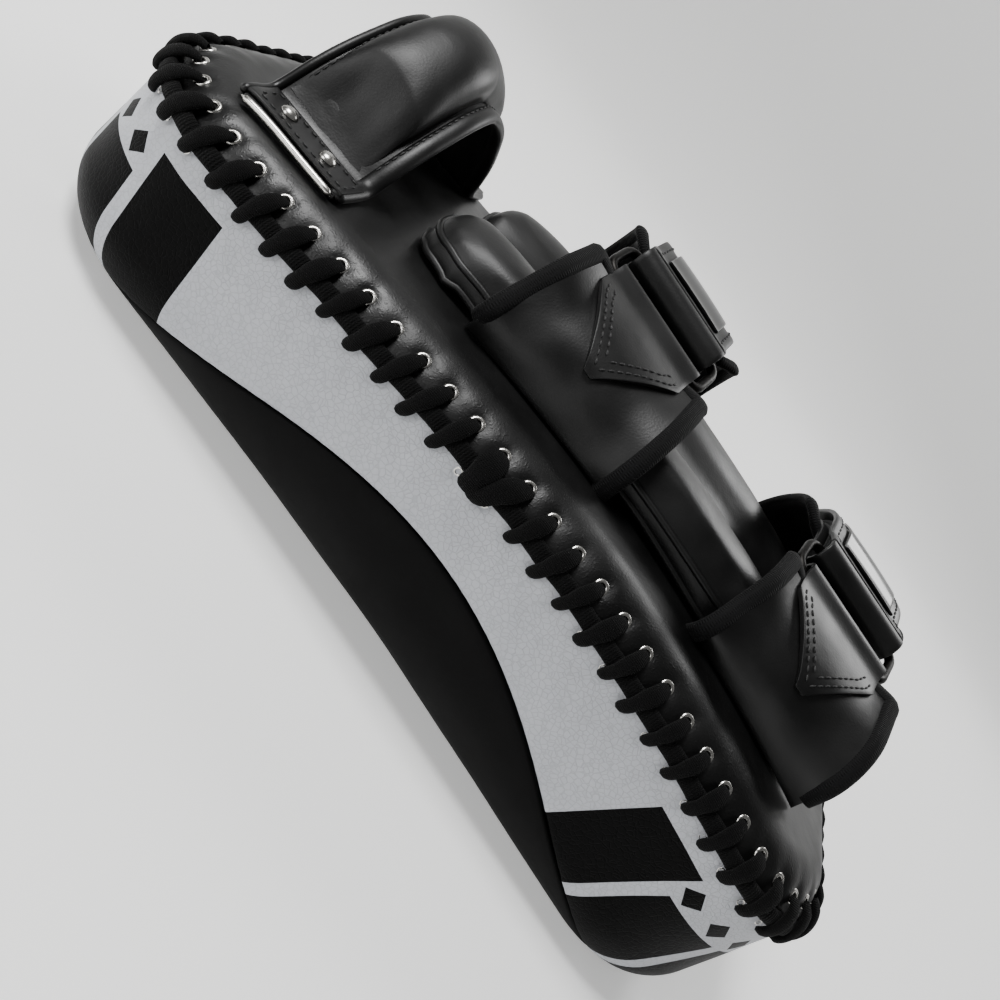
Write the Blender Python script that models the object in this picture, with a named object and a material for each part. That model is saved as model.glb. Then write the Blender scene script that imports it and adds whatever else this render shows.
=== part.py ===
# Thai kick pad: a foam block in leather skins laced together round its edge,
# with a padded hand grip, a forearm cushion and two forearm straps.
# Lengths are in millimetres and become metres in new_object.
# X runs along the pad (grip at -X, elbow at +X), Y across it, +Z is the back.

import math

import bmesh
import bpy
from mathutils import Matrix, Vector

mm = 0.001
gap = 0.35            # clearance kept between touching pieces

# ---------------------------------------------------------------- pad body
half_length = 200.0
half_width = 100.0
corner_radius = 58.0
shoulder_radius = 22.0      # rounding between the side wall and the back
shoulder_drop = 15.0        # seam height minus the height of the rounding's centre
crown_height = 3.0
crown_end = 96.0            # inset at which the back stops rising
skin = 2.0
foam_inset = skin + 1.0
foam_levels = (34.0, 58.0)  # where the three foam layers meet

lace_count = 78             # stitches round the pad
eyelet_arc = 16.5           # distance of the back eyelets from the top of the side wall
side_eyelet_arc = 0.0       # and of the side eyelets
seam_arc = 6.75
hem_width = 15.0
hem_raise = 0.8
eyelet_raise = 0.5
eyelet_outer = 3.0
eyelet_hole = 1.6
lace_lift = 0.7          # the lace's height above the hems
lace_half_width = 3.0
lace_thickness = 2.4

# ---------------------------------------------------------------- grip
grip_foot_x = (-162.0, -117.0)
grip_crest_x = (-165.0, -123.0)
grip_arch = ((81, 0.0), (63, 0.4), (58, 4.0), (53, 11.0), (45, 19.5),
             (32, 29.5), (18, 38.0), (0, 42.0))   # y, rise of the band above the back
grip_band_thickness = 2.4
grip_dome = ((58, 3.0), (53, 8.5), (45, 12.5), (32, 14.0), (18, 14.5), (0, 14.5))
flange_thickness = 1.6
flange_y = (63.0, 80.0)
rivet_places = ((-151, -70), (-131, -70), (-151, 70), (-131, 70))
rivet_shank = 2.0
rivet_head = 3.6
vent_place = (-133.0, 0.0)
vent_hole = 2.2

# ---------------------------------------------------------------- cushion
cushion_x = (-100.0, 160.0)
cushion_half_width = 60.0
cushion_corner = 25.0
cushion_section = ((1.0, 0.0), (1.0, 9.0), (0.95, 14.5), (0.82, 18.5), (0.6, 20.0),
                   (0.38, 17.0), (0.18, 10.5), (0.0, 8.5))
cushion_skin = 1.8

# ---------------------------------------------------------------- straps
strap_centres = {"upper": -20.0, "lower": 115.0}
wing_thickness = 3.0
wing_base_half = 38.0
wing_top_half = 34.0
wing_y = 63.5
strap_drops = {"upper": 0.0, "lower": 4.0}     # the lower strap is pulled tighter
near_wing_path = ((-63.5, 110), (-62, 117.5), (-57.5, 125), (-50, 131), (-39.5, 135.8), (-27.5, 139))
far_wing_path = ((63.5, 110), (62, 119), (57, 129), (49, 137.5), (38, 144.4), (27, 146.2))
binding_width = 3.0
strap_half = 25.0
strap_thickness = 2.0
keeper_offset = wing_thickness / 2 + gap + strap_thickness / 2
keeper_bar = (-19.7, 142.0)
keeper_fold_radius = 4.5
keeper_point_length = 34.0
ring_bar = 2.0
ring_half = 29.0
ring_corner = 5.0
hinge_line = (-2.0, 149.5)
fold_radius = 6.5
fixed_offset = 3.9
flap_separation = 6.6
patch_thickness = 1.5
patch_half = 21.0
patch_offset = strap_thickness / 2 + 0.5 + patch_thickness / 2
badge_thickness = 1.4
badge_half = 17.0
badge_offset = strap_thickness / 2 + gap + badge_thickness / 2


# ---------------------------------------------------------------- scene helpers
def clear_scene():
    for item in list(bpy.data.objects):
        bpy.data.objects.remove(item, do_unlink=True)


def make_material(name, colour, roughness, metallic=0.0):
    material = bpy.data.materials.new(name)
    material.use_nodes = True
    shader = material.node_tree.nodes["Principled BSDF"]
    shader.inputs["Base Color"].default_value = (*colour, 1.0)
    shader.inputs["Roughness"].default_value = roughness
    shader.inputs["Metallic"].default_value = metallic
    return material


def new_object(name, bm, material, parent=None):
    # Takes a mesh in millimetres in world axes, and hangs it on its parent empty.
    bmesh.ops.remove_doubles(bm, verts=bm.verts, dist=1e-4)
    bmesh.ops.recalc_face_normals(bm, faces=bm.faces)
    pivot = parent.location if parent else Vector()
    bmesh.ops.transform(bm, matrix=Matrix.Translation(-pivot) @ Matrix.Scale(mm, 4), verts=bm.verts)
    mesh = bpy.data.meshes.new(name)
    bm.to_mesh(mesh)
    bm.free()
    mesh.materials.append(material)
    item = bpy.data.objects.new(name, mesh)
    bpy.context.collection.objects.link(item)
    item.parent = parent
    return item


def new_pivot(name, x, y, z):
    pivot = bpy.data.objects.new(name, None)
    pivot.location = Vector((x, y, z)) * mm
    bpy.context.collection.objects.link(pivot)
    return pivot


def cut(item, cutter):
    modifier = item.modifiers.new("hole", "BOOLEAN")
    modifier.operation = "DIFFERENCE"
    modifier.object = cutter


# ---------------------------------------------------------------- mesh helpers
def grid_faces(bm, rows, wrap):
    # Quads between neighbouring rows of vertices.
    for low, high in zip(rows, rows[1:]):
        count = len(low)
        for j in range(count if wrap else count - 1):
            k = (j + 1) % count
            bm.faces.new((low[j], low[k], high[k], high[j]))


def close_loop(bm, row):
    # Fills a loop that is symmetric about the X axis: a face at each end, quads between.
    count = len(row)
    half = count // 2
    end = 5
    bm.faces.new([row[i % count] for i in range(-end, end + 1)])
    for i in range(end, half - end):
        bm.faces.new((row[i], row[i + 1], row[count - i - 1], row[count - i]))
    bm.faces.new([row[i] for i in range(half - end, half + end + 1)])


def solid_between(outer, inner, wrap=False, closed_start=False):
    # A closed solid from two grids of points of the same shape.
    bm = bmesh.new()
    top = [[bm.verts.new(p) for p in row] for row in outer]
    bottom = [[bm.verts.new(p) for p in row] for row in inner]
    grid_faces(bm, top, wrap)
    grid_faces(bm, bottom, wrap)
    grid_faces(bm, [top[-1], bottom[-1]], wrap)
    if closed_start:
        close_loop(bm, top[0])
        close_loop(bm, bottom[0])
    else:
        grid_faces(bm, [top[0], bottom[0]], wrap)
    if not wrap:
        for side in (0, -1):
            grid_faces(bm, [[row[side] for row in top], [row[side] for row in bottom]], False)
    return bm


def swept_tube(path, radius, sides=8, loop=False, frame_axis=Vector((1, 0, 0))):
    # A round bar along a path; frame_axis is never parallel to the path.
    bm = bmesh.new()
    rows = []
    count = len(path)
    for i, point in enumerate(path):
        before = path[i - 1] if i or loop else path[i]
        after = path[(i + 1) % count] if i < count - 1 or loop else path[i]
        along = (after - before).normalized()
        side = along.cross(frame_axis).normalized()
        up = side.cross(along)
        turns = [2 * math.pi * (k + 0.5) / sides for k in range(sides)]
        rows.append([bm.verts.new(point + radius * (math.cos(a) * side + math.sin(a) * up)) for a in turns])
    grid_faces(bm, rows + rows[:1] if loop else rows, True)
    if not loop:
        bm.faces.new(rows[0])
        bm.faces.new(rows[-1])
    return bm


def lathe(profile, centre, normal, sides=12):
    # A closed solid turned about the normal; the profile runs from axis to axis.
    bm = bmesh.new()
    turn = normal.to_track_quat("Z", "Y")
    rows = []
    for radius, height in profile:
        if radius == 0:
            rows.append([bm.verts.new(centre + turn @ Vector((0, 0, height)))])
            continue
        angles = [2 * math.pi * k / sides for k in range(sides)]
        points = [Vector((radius * math.cos(a), radius * math.sin(a), height)) for a in angles]
        rows.append([bm.verts.new(centre + turn @ p) for p in points])
    for low, high in zip(rows, rows[1:]):
        for j in range(sides):
            k = (j + 1) % sides
            corners = [low[j % len(low)], low[k % len(low)], high[k % len(high)], high[j % len(high)]]
            bm.faces.new(list(dict.fromkeys(corners)))
    return bm


def offset_grid(grid, distance):
    # Moves an open grid of points inwards along its own normals.
    moved = []
    for i, row in enumerate(grid):
        moved_row = []
        for j, point in enumerate(row):
            along = grid[min(i + 1, len(grid) - 1)][j] - grid[max(i - 1, 0)][j]
            across = row[min(j + 1, len(row) - 1)] - row[max(j - 1, 0)]
            moved_row.append(point - distance * along.cross(across).normalized())
        moved.append(moved_row)
    return moved


def table_value(table, place):
    # Straight-line look-up in a table of (place, value), whichever way it runs.
    table = sorted(table)
    for (a, low), (b, high) in zip(table, table[1:]):
        if place <= b:
            share = max(0.0, (place - a) / (b - a))
            return low + (high - low) * share
    return table[-1][1]


# ---------------------------------------------------------------- pad surface
def seam_height(x):
    return 74 + 21 * math.cos(math.pi * (x - 45) / 520) ** 2


def face_radius(x):
    return 24 + 13 * math.cos(math.pi * max(-1, min(1, x / 190)) / 2) ** 2


def crown(inset):
    share = (crown_end - min(inset, crown_end)) / (crown_end - shoulder_radius)
    return crown_height * (1 - share * share)


def inset_of(x, y):
    # Distance inwards from the pad's outline.
    dx = abs(x) - (half_length - corner_radius)
    dy = abs(y) - (half_width - corner_radius)
    outside = math.hypot(max(dx, 0), max(dy, 0))
    return corner_radius - outside - min(max(dx, dy), 0)


def back_height(x, y):
    inset = inset_of(x, y)
    if inset >= shoulder_radius:
        return seam_height(x) - shoulder_drop + shoulder_radius + crown(inset)
    run = shoulder_radius - max(inset, 0)
    return seam_height(x) - shoulder_drop + math.sqrt(shoulder_radius ** 2 - run ** 2)


def back_point(x, y, lift=0.0):
    return Vector((x, y, back_height(x, y) + lift))


def back_normal(x, y, reach=6.0):
    slope_x = (back_height(x + reach, y) - back_height(x - reach, y)) / (2 * reach)
    slope_y = (back_height(x, y + reach) - back_height(x, y - reach)) / (2 * reach)
    return Vector((-slope_x, -slope_y, 1)).normalized()


def outline_point(place, inset):
    # place counts stitches round the pad, from the middle of the grip end.
    radius = corner_radius - inset if inset < 40 else 18 * (100 - inset) / 60
    run = half_length - inset - radius
    rise = half_width - inset - radius
    eyelet_inset = 5.9
    long_side = 2 * (half_length - corner_radius)
    short_side = half_width - corner_radius
    arc = math.pi / 2 * (corner_radius - eyelet_inset)
    total = 2 * long_side + 4 * short_side + 4 * arc
    place = place % lace_count
    travelled = place / lace_count * total
    mirrored = travelled > total / 2
    if mirrored:
        travelled = total - travelled
    if travelled <= short_side:
        x, y = -run - radius, -rise * travelled / short_side
    elif travelled <= short_side + arc:
        angle = (travelled - short_side) / arc * math.pi / 2
        x, y = -run - radius * math.cos(angle), -rise - radius * math.sin(angle)
    elif travelled <= short_side + arc + long_side:
        share = (travelled - short_side - arc) / long_side
        x, y = -run + 2 * run * share, -rise - radius
    elif travelled <= short_side + 2 * arc + long_side:
        angle = (travelled - short_side - arc - long_side) / arc * math.pi / 2
        x, y = run + radius * math.sin(angle), -rise - radius * math.cos(angle)
    else:
        share = (total / 2 - travelled) / short_side
        x, y = run + radius, -rise * share
    return x, -y if mirrored else y


# A level runs from the strike face to the middle of the back:
# 0-1 face, 1-2 face rounding, 2-3 side wall, 3-4 shoulder, 4-5 back.
def pad_point(place, level, depth):
    edge_x, _ = outline_point(place, 0)
    round_radius = face_radius(edge_x)
    if level <= 1:
        inset = 96 + (round_radius - 96) * level
    elif level <= 2:
        turn = (level - 1) * math.pi / 2
        inset = round_radius - (round_radius - depth) * math.sin(turn)
    elif level <= 3:
        inset = depth
    elif level <= 4:
        turn = (level - 3) * math.pi / 2
        inset = shoulder_radius - (shoulder_radius - depth) * math.cos(turn)
    else:
        inset = shoulder_radius + (crown_end - shoulder_radius) * (level - 4)
    x, y = outline_point(place, inset)
    wall_top = seam_height(x) - shoulder_drop
    if level <= 1:
        z = depth
    elif level <= 2:
        z = round_radius - (round_radius - depth) * math.cos((level - 1) * math.pi / 2)
    elif level <= 3:
        z = round_radius + (wall_top - round_radius) * (level - 2)
    elif level <= 4:
        z = wall_top + (shoulder_radius - depth) * math.sin((level - 3) * math.pi / 2)
    else:
        z = back_height(x, y) - depth
    return Vector((x, y, z))


def level_at_height(place, height, depth=0.0):
    edge_x, _ = outline_point(place, depth)
    round_radius = face_radius(outline_point(place, 0)[0])
    if height < round_radius:
        return 1 + math.acos((round_radius - height) / (round_radius - depth)) / (math.pi / 2)
    return 2 + (height - round_radius) / (seam_height(edge_x) - shoulder_drop - round_radius)


def level_at_arc(place, arc):
    # arc is measured up the surface from the top of the side wall.
    edge_x, _ = outline_point(place, 0)
    if arc < 0:
        return 3 + arc / (seam_height(edge_x) - shoulder_drop - face_radius(edge_x))
    return 3 + arc / (shoulder_radius * math.pi / 2)


def cover_seam_height(x):
    # Where the strike cover is sewn to the side panel: an arch on both long sides.
    return 4.5 + 49 * math.cos(math.pi * max(-1, min(1, (x - 10) / 158)) / 2) ** 1.35


def places(step=1.0):
    return [i * step for i in range(round(lace_count / step))]


def ring_rows(levels, depth):
    return [[pad_point(p, level(p), depth) for p in places()] for level in levels]


def blend_levels(first, last, count):
    # Level functions spread evenly between two others.
    def between(share):
        return lambda p: first(p) + (last(p) - first(p)) * share
    return [between(i / count) for i in range(count + 1)]


# ---------------------------------------------------------------- pad pieces
rounding_levels = (1.0, 1.25, 1.5, 1.75, 2.0, 2.4)


def make_skins(materials):
    def fixed(value):
        return lambda p: value

    def seam(lift):
        return lambda p: level_at_height(p, cover_seam_height(outline_point(p, 0)[0]) + lift)

    def arc(distance):
        return lambda p: level_at_arc(p, distance)

    def clamped(value, low, high):
        return lambda p: min(max(value, low(p)), high(p))

    cover_top = seam(-gap / 2)
    cover_levels = [clamped(v, fixed(1.0), cover_top) for v in rounding_levels] + [cover_top]
    new_object("strike_cover", solid_between(ring_rows(cover_levels, 0), ring_rows(cover_levels, skin),
                                             True, True), materials["smooth_black"])
    side_top = seam_arc - 0.75 - hem_width - gap
    side_base = seam(gap / 2)
    side_levels = [side_base] + [clamped(v, side_base, fixed(9)) for v in rounding_levels[1:]]
    side_levels.append(arc(side_top))
    new_object("side_panel", solid_between(ring_rows(side_levels, 0), ring_rows(side_levels, skin), True),
               materials["grey_leather"])
    back_start = seam_arc + 0.75 + hem_width + gap
    back_levels = blend_levels(arc(back_start), fixed(4.0), 2)[:-1]
    back_levels += blend_levels(fixed(4.0), fixed(5.0), 3)
    back_levels.reverse()
    return new_object("back_panel", solid_between(ring_rows(back_levels, 0), ring_rows(back_levels, skin),
                                                  True, True), materials["smooth_black"])


def make_foams(material):
    def height(value):
        return lambda p: level_at_height(p, value, foam_inset)

    def foam(name, levels):
        bm = bmesh.new()
        rows = [[bm.verts.new(v) for v in row] for row in ring_rows(levels, foam_inset)]
        grid_faces(bm, rows, True)
        close_loop(bm, rows[0])
        close_loop(bm, rows[-1])
        new_object(name, bm, material)

    low, high = foam_levels
    rounding = [lambda p, v=v: v for v in rounding_levels[:4]]
    foam("front_foam", rounding + [height(low)])
    foam("core_foam", [height(low + gap), height(high)])
    hem_start = seam_arc + 0.75
    hem_arcs = [hem_start, hem_start + hem_width / 2, hem_start + hem_width]
    hem_levels = [lambda p, a=a: level_at_arc(p, a) for a in hem_arcs]
    foam("back_foam", [height(high + gap), lambda p: 3.0] + hem_levels + [lambda p: 4.0, lambda p: 4.4,
                                                                          lambda p: 5.0])


def make_side_hem(material):
    # The folded hem of the side panel; the stitches' tips cover its eyelets.
    low, high = seam_arc - 0.75 - hem_width, seam_arc - 0.75

    def rows(depth):
        return [[pad_point(p, level_at_arc(p, arc), depth) for p in places()] for arc in (low, 0, high)]

    new_object("side_hem", solid_between(rows(-hem_raise), rows(skin), True), material)


def make_eyelet_band(name, centre_arc, band_arcs, material):
    # The folded hem that carries one row of eyelets, each a raised ring with a recess.
    bm = bmesh.new()
    count = lace_count
    low, high = band_arcs

    def loop(arc, depth):
        return [bm.verts.new(pad_point(p, level_at_arc(p, arc), depth)) for p in places()]

    low_in, low_out = loop(low, skin), loop(low, -hem_raise)
    high_in, high_out = loop(high, skin), loop(high, -hem_raise)
    grid_faces(bm, [low_in, loop((low + high) / 2, skin), high_in], True)
    grid_faces(bm, [low_in, low_out], True)
    grid_faces(bm, [high_in, high_out], True)
    sides = 6
    for i in range(count):
        place = i + 0.5
        k = (i + 1) % count
        ahead = pad_point(place + 0.05, level_at_arc(place, centre_arc), -hem_raise)
        middle = pad_point(place, level_at_arc(place, centre_arc), -hem_raise)
        above = pad_point(place, level_at_arc(place, centre_arc + 1), -hem_raise)
        along = (ahead - middle).normalized()
        up = (above - middle).normalized()
        out = along.cross(up).normalized()
        if out.dot(middle - pad_point(place, level_at_arc(place, centre_arc), 0)) < 0:
            out = -out

        def ring(radius, lift):
            angles = [2 * math.pi * (n + 0.5) / sides for n in range(sides)]
            return [bm.verts.new(middle + radius * (math.cos(a) * along + math.sin(a) * up) + lift * out)
                    for a in angles]

        foot = ring(eyelet_outer, 0)
        lip = ring((eyelet_outer + eyelet_hole) / 2, eyelet_raise)
        hole = ring(eyelet_hole, -0.6)
        grid_faces(bm, [foot, lip, hole], True)
        bm.faces.new(hole)
        # The band's own surface round the ring: foot 0 and 5 point ahead, 2 and 3 behind.
        bm.faces.new((low_out[k], high_out[k], foot[0], foot[5]))
        bm.faces.new((high_out[k], high_out[i], foot[2], foot[1], foot[0]))
        bm.faces.new((high_out[i], low_out[i], foot[3], foot[2]))
        bm.faces.new((low_out[i], low_out[k], foot[5], foot[4], foot[3]))
    bmesh.ops.triangulate(bm, faces=bm.faces)
    new_object(name, bm, material)


def make_lace(material):
    # A flat lace along the seam, with a cross stitch out to both rows of eyelets.
    bm = bmesh.new()
    inside = -(hem_raise + lace_lift)
    outside = inside - lace_thickness
    stitch = 0.2
    cells = [i + side * stitch for i in range(lace_count) for side in (-1, 1)]
    cells = [p + 0.5 for p in cells]

    def vertex(place, arc, depth):
        return bm.verts.new(pad_point(place, level_at_arc(place, arc), depth))

    corners = []
    for p in cells:
        low, high = seam_arc - lace_half_width, seam_arc + lace_half_width
        corners.append((vertex(p, low, inside), vertex(p, low, outside),
                        vertex(p, high, outside), vertex(p, high, inside)))
    count = len(cells)
    lift = 1.0
    for i in range(count):
        here, there = corners[i], corners[(i + 1) % count]
        for side in range(4):
            after = (side + 1) % 4
            is_stitch = i % 2 == 0 and side in (0, 2)
            if not is_stitch:
                bm.faces.new((here[side], there[side], there[after], here[after]))
                continue
            reach = eyelet_arc if side == 2 else side_eyelet_arc - 1.5
            middle = (cells[i] + cells[i + 1]) / 2
            tip = []
            for p, depth in ((cells[i], 0), (cells[i + 1], 0), (cells[i + 1], 1), (cells[i], 1)):
                place = middle + (p - middle) * 0.7
                tip.append(vertex(place, reach, (inside if depth == (side == 2) else outside) - lift))
            base = [here[side], there[side], there[after], here[after]]
            grid_faces(bm, [base, tip], True)
            bm.faces.new(tip)
    new_object("lace", bm, material)


# ---------------------------------------------------------------- grip pieces
def grip_edges(y):
    share = min(abs(y) / 60, 1)
    return [crest + (foot - crest) * share for foot, crest in zip(grip_foot_x, grip_crest_x)]


def grip_row(y, lift, columns, spread=0.0):
    # A row of points along X at one place on the arch.
    start, end = grip_edges(y)
    start, end = start - spread, end + spread
    rise = table_value(grip_arch, abs(y))
    xs = [start + (end - start) * c / (columns - 1) for c in range(columns)]
    ease = 1 - min(rise / 4, 1)
    level = back_height(-140, y)
    return [Vector((x, y, level + (back_height(x, y) - level) * ease + rise + 0.5 + lift)) for x in xs]


def mirrored_places(table):
    values = sorted(p for p, _ in table)
    return [-v for v in reversed(values) if v] + values


def make_grip(materials):
    band_places = mirrored_places(grip_arch)
    under = [grip_row(y, 0, 4) for y in band_places]
    over = [grip_row(y, grip_band_thickness, 4) for y in band_places]
    band = new_object("grip_band", solid_between(over, under), materials["smooth_black"])

    dome_places = mirrored_places(grip_dome)

    def dome_rows(depth, lift):
        rows = []
        steps = 9
        for y in dome_places:
            base = grip_row(y, grip_band_thickness + gap + lift, 2)
            height = max(table_value(grip_dome, abs(y)) - depth, 0.6)
            middle = (base[0] + base[1]) / 2
            half = (base[1].x - base[0].x) / 2 - depth
            slope = 0.35 if abs(y) > 50 else 0.0
            row = []
            for n in range(steps):
                turn = math.pi * (1 - n / (steps - 1))
                rise = height * math.sin(turn) ** 0.8
                row.append(Vector((middle.x + half * math.cos(turn), y - math.copysign(slope * rise, y),
                                   middle.z + rise)))
            rows.append(row)
        return rows

    new_object("grip_cover", solid_between(dome_rows(0, 0), dome_rows(skin, 0)), materials["smooth_black"])

    foam_top = dome_rows(skin + gap + 0.5, 0.4)[2:-2]
    foam_base = []
    for row in foam_top:
        floor = min(p.z for p in row)
        foam_base.append([Vector((p.x, row[0].y, floor - 0.3)) for p in row])
    new_object("grip_foam", solid_between(foam_top, foam_base), materials["foam"])

    welt_radius = 1.9
    for name, column, push in (("grip_welt_front", 1, 1), ("grip_welt_rear", 0, -1)):
        path = []
        for y in band_places:
            edge = grip_row(y, grip_band_thickness / 2, 2)[column]
            path.append(edge + Vector((push * (welt_radius + gap), 0, 1.1)))
        new_object(name, swept_tube(path, welt_radius, 6), materials["smooth_black"])
    return band


def make_flanges(materials):
    # Riveted end plates of the grip, each with a bright piping along its outer edge.
    plates = []
    for name, side in (("near", -1), ("far", 1)):
        stations = [flange_y[0], 67, 70, 75, flange_y[1]]
        lift = grip_band_thickness + gap
        under = [grip_row(side * y, lift, 4, -1.0) for y in stations]
        over = [grip_row(side * y, lift + flange_thickness, 4, -1.0) for y in stations]
        plates.append(new_object(name + "_flange_plate", solid_between(over, under),
                                 materials["smooth_black"]))
        start, end = grip_edges(80)
        y = side * (grip_arch[0][0] + 2.0)
        path = [back_point(start + (end - start) * n / 5, y, 2.8) for n in range(6)]
        new_object(name + "_flange_piping", swept_tube(path, 1.6, 8, frame_axis=Vector((0, 1, 0))),
                   materials["metal"])
    return plates


def make_rivets(pieces, back_panel, material):
    top = 0.5 + grip_band_thickness + gap + flange_thickness + gap
    for number, (x, y) in enumerate(rivet_places, 1):
        normal = back_normal(x, y)
        centre = back_point(x, y) + Vector((0, 0, table_value(grip_arch, abs(y))))
        profile = [(0, top + 2.3), (rivet_head * 0.6, top + 1.9), (rivet_head * 0.9, top + 1.1),
                   (rivet_head, top + 0.1), (rivet_shank, top + 0.1), (rivet_shank, -1.5), (0, -1.5)]
        new_object("grip_rivet_%d" % number, lathe(profile, centre, normal, 10), material)
        drill = [(0, top + 8), (rivet_shank + 0.4, top + 8), (rivet_shank + 0.4, -5), (0, -5)]
        cutter = new_cutter("rivet_drill_%d" % number, lathe(drill, centre, normal, 10))
        for piece in pieces + [back_panel]:
            if (piece.name.startswith("near") and y > 0) or (piece.name.startswith("far") and y < 0):
                continue
            cut(piece, cutter)


def new_cutter(name, bm):
    cutter = new_object(name, bm, bpy.data.materials["cutter"])
    cutter.hide_render = True
    cutter.display_type = "WIRE"
    return cutter


def make_vent(back_panel, material):
    x, y = vent_place
    centre = back_point(x, y)
    normal = back_normal(x, y)
    turn = normal.to_track_quat("Z", "Y")
    bm = bmesh.new()
    barrel = vent_hole + 0.8
    profile = [(vent_hole, 0.1 - skin), (vent_hole, 1.5), (4.2, 1.2), (4.2, 0.4), (barrel, 0.4),
               (barrel, 0.1 - skin)]
    sides = 12
    angles = [2 * math.pi * k / sides for k in range(sides)]
    rows = [[bm.verts.new(centre + turn @ Vector((r * math.cos(a), r * math.sin(a), h))) for a in angles]
            for r, h in profile]
    grid_faces(bm, rows + rows[:1], True)
    new_object("vent_eyelet", bm, material)
    drill = [(0, 5), (barrel + gap, 5), (barrel + gap, -5), (0, -5)]
    cut(back_panel, new_cutter("vent_drill", lathe(drill, centre, normal, sides)))


# ---------------------------------------------------------------- cushion
def cushion_grid():
    start, end = cushion_x
    edge_steps = ((0.0, 0.0), (0.4, 0.5), (3.0, 0.78), (9.0, 0.94), (cushion_corner, 1.0))
    stations = [(start + d, share, d) for d, share in edge_steps]
    stations += [(x, 1.0, cushion_corner) for x in (-40, -5, 30, 65, 100)]
    stations += [(end - d, share, d) for d, share in reversed(edge_steps)]
    half_section = list(cushion_section)
    section = [(-f, h) for f, h in half_section] + [(f, h) for f, h in reversed(half_section[:-1])]
    rows = []
    for x, share, d in stations:
        curve = cushion_corner - d
        half = cushion_half_width - cushion_corner + math.sqrt(max(cushion_corner ** 2 - curve ** 2, 0))
        rows.append([back_point(x, f * half, 0.5 + h * share) for f, h in section])
    return rows


def make_cushion(materials):
    outer = cushion_grid()
    inner = offset_grid(outer, cushion_skin)
    last = len(outer) - 1
    for i, row in enumerate(inner):
        for j, point in enumerate(row):
            if i in (0, last) or j in (0, len(row) - 1):
                point.z = back_height(point.x, point.y) + 0.5
    new_object("cushion_cover", solid_between(outer, inner), materials["smooth_black"])
    foam_top = [row[1:-1] for row in offset_grid(outer, cushion_skin + gap)[1:-1]]
    foam_base = [[back_point(p.x, p.y, 0.6) for p in row] for row in foam_top]
    new_object("cushion_foam", solid_between(foam_top, foam_base), materials["foam"])


# ---------------------------------------------------------------- straps
def path_normals(path):
    # Normals to the left of a path in the YZ plane.
    normals = []
    for i in range(len(path)):
        a = path[max(i - 1, 0)]
        b = path[min(i + 1, len(path) - 1)]
        along = Vector((b[0] - a[0], b[1] - a[1])).normalized()
        normals.append(Vector((-along.y, along.x)))
    return normals


def offset_path(path, distance):
    return [Vector(p) + distance * n for p, n in zip(path, path_normals(path))]


def path_length(path):
    total = [0.0]
    for a, b in zip(path, path[1:]):
        total.append(total[-1] + (Vector(b) - Vector(a)).length)
    return total


def dropped(z, drop):
    # The higher a strap's point, the more of the drop it takes.
    return z - drop * max(0.0, min(1.0, (z - 116) / (hinge_line[1] - 116)))


def dropped_path(path, drop):
    return [(p[0], dropped(p[1], drop)) for p in path]


def ribbon(centre_x, path, halves, thickness, base_z=None):
    # A band of constant thickness along a YZ path; base_z gives the height of its first row.
    sides = []
    for face in (0.5, -0.5):
        rows = []
        for number, (point, half) in enumerate(zip(offset_path(path, face * thickness), halves)):
            xs = [centre_x - half, centre_x, centre_x + half]
            if number == 0 and base_z:
                rows.append([Vector((x, point[0], base_z(x, point[0]))) for x in xs])
            else:
                rows.append([Vector((x, point[0], point[1])) for x in xs])
        sides.append(rows)
    return solid_between(*sides)


def wing_halves(path):
    lengths = path_length(path)
    return [wing_base_half + (wing_top_half - wing_base_half) * s / lengths[-1] for s in lengths]


def full_wing_path(path, centre_x):
    side = math.copysign(wing_y, path[0][0])
    return [(side, back_height(centre_x, side) + 3.0)] + list(path)


def wing_base(x, y):
    return back_height(x, y) + 0.6


def make_binding(name, centre_x, path, material):
    # Bound edge: up one side of the wing, over its free end and down the other side.
    bm = bmesh.new()
    halves = wing_halves(path)
    end = Vector(path[-1])
    along = (end - Vector(path[-2])).normalized()
    rows_path = [Vector(p) for p in path] + [end + along * gap, end + along * (gap + binding_width)]
    halves = halves + [halves[-1], halves[-1]]
    layers = []
    for face in (0.5, -0.5):
        rows = []
        for number, (point, half) in enumerate(zip(offset_path(rows_path, face * wing_thickness), halves)):
            row = []
            for x in (-half - gap - binding_width, -half - gap, half + gap, half + gap + binding_width):
                z = wing_base(centre_x + x, point[0]) if number == 0 else point[1]
                row.append(bm.verts.new((centre_x + x, point[0], z)))
            rows.append(row)
        layers.append(rows)
    last = len(rows_path) - 2
    for i in range(len(rows_path) - 1):
        for j in (0, 1, 2):
            if j == 1 and i != last:
                continue
            for rows in layers:
                bm.faces.new((rows[i][j], rows[i][j + 1], rows[i + 1][j + 1], rows[i + 1][j]))
    edges = [[(i, j) for i in range(last + 2)] for j in (0, 3)]
    edges += [[(i, j) for i in range(last + 1)] for j in (1, 2)]
    edges += [[(0, 0), (0, 1)], [(0, 2), (0, 3)], [(last, 1), (last, 2)],
              [(last + 1, j) for j in range(4)]]
    for edge in edges:
        for (i, j), (k, n) in zip(edge, edge[1:]):
            bm.faces.new((layers[0][i][j], layers[0][k][n], layers[1][k][n], layers[1][i][j]))
    new_object(name, bm, material)


def arc_points(centre, radius, start, end, steps):
    angles = [math.radians(start + (end - start) * n / steps) for n in range(steps + 1)]
    return [(centre[0] + radius * math.cos(a), centre[1] + radius * math.sin(a)) for a in angles]


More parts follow.
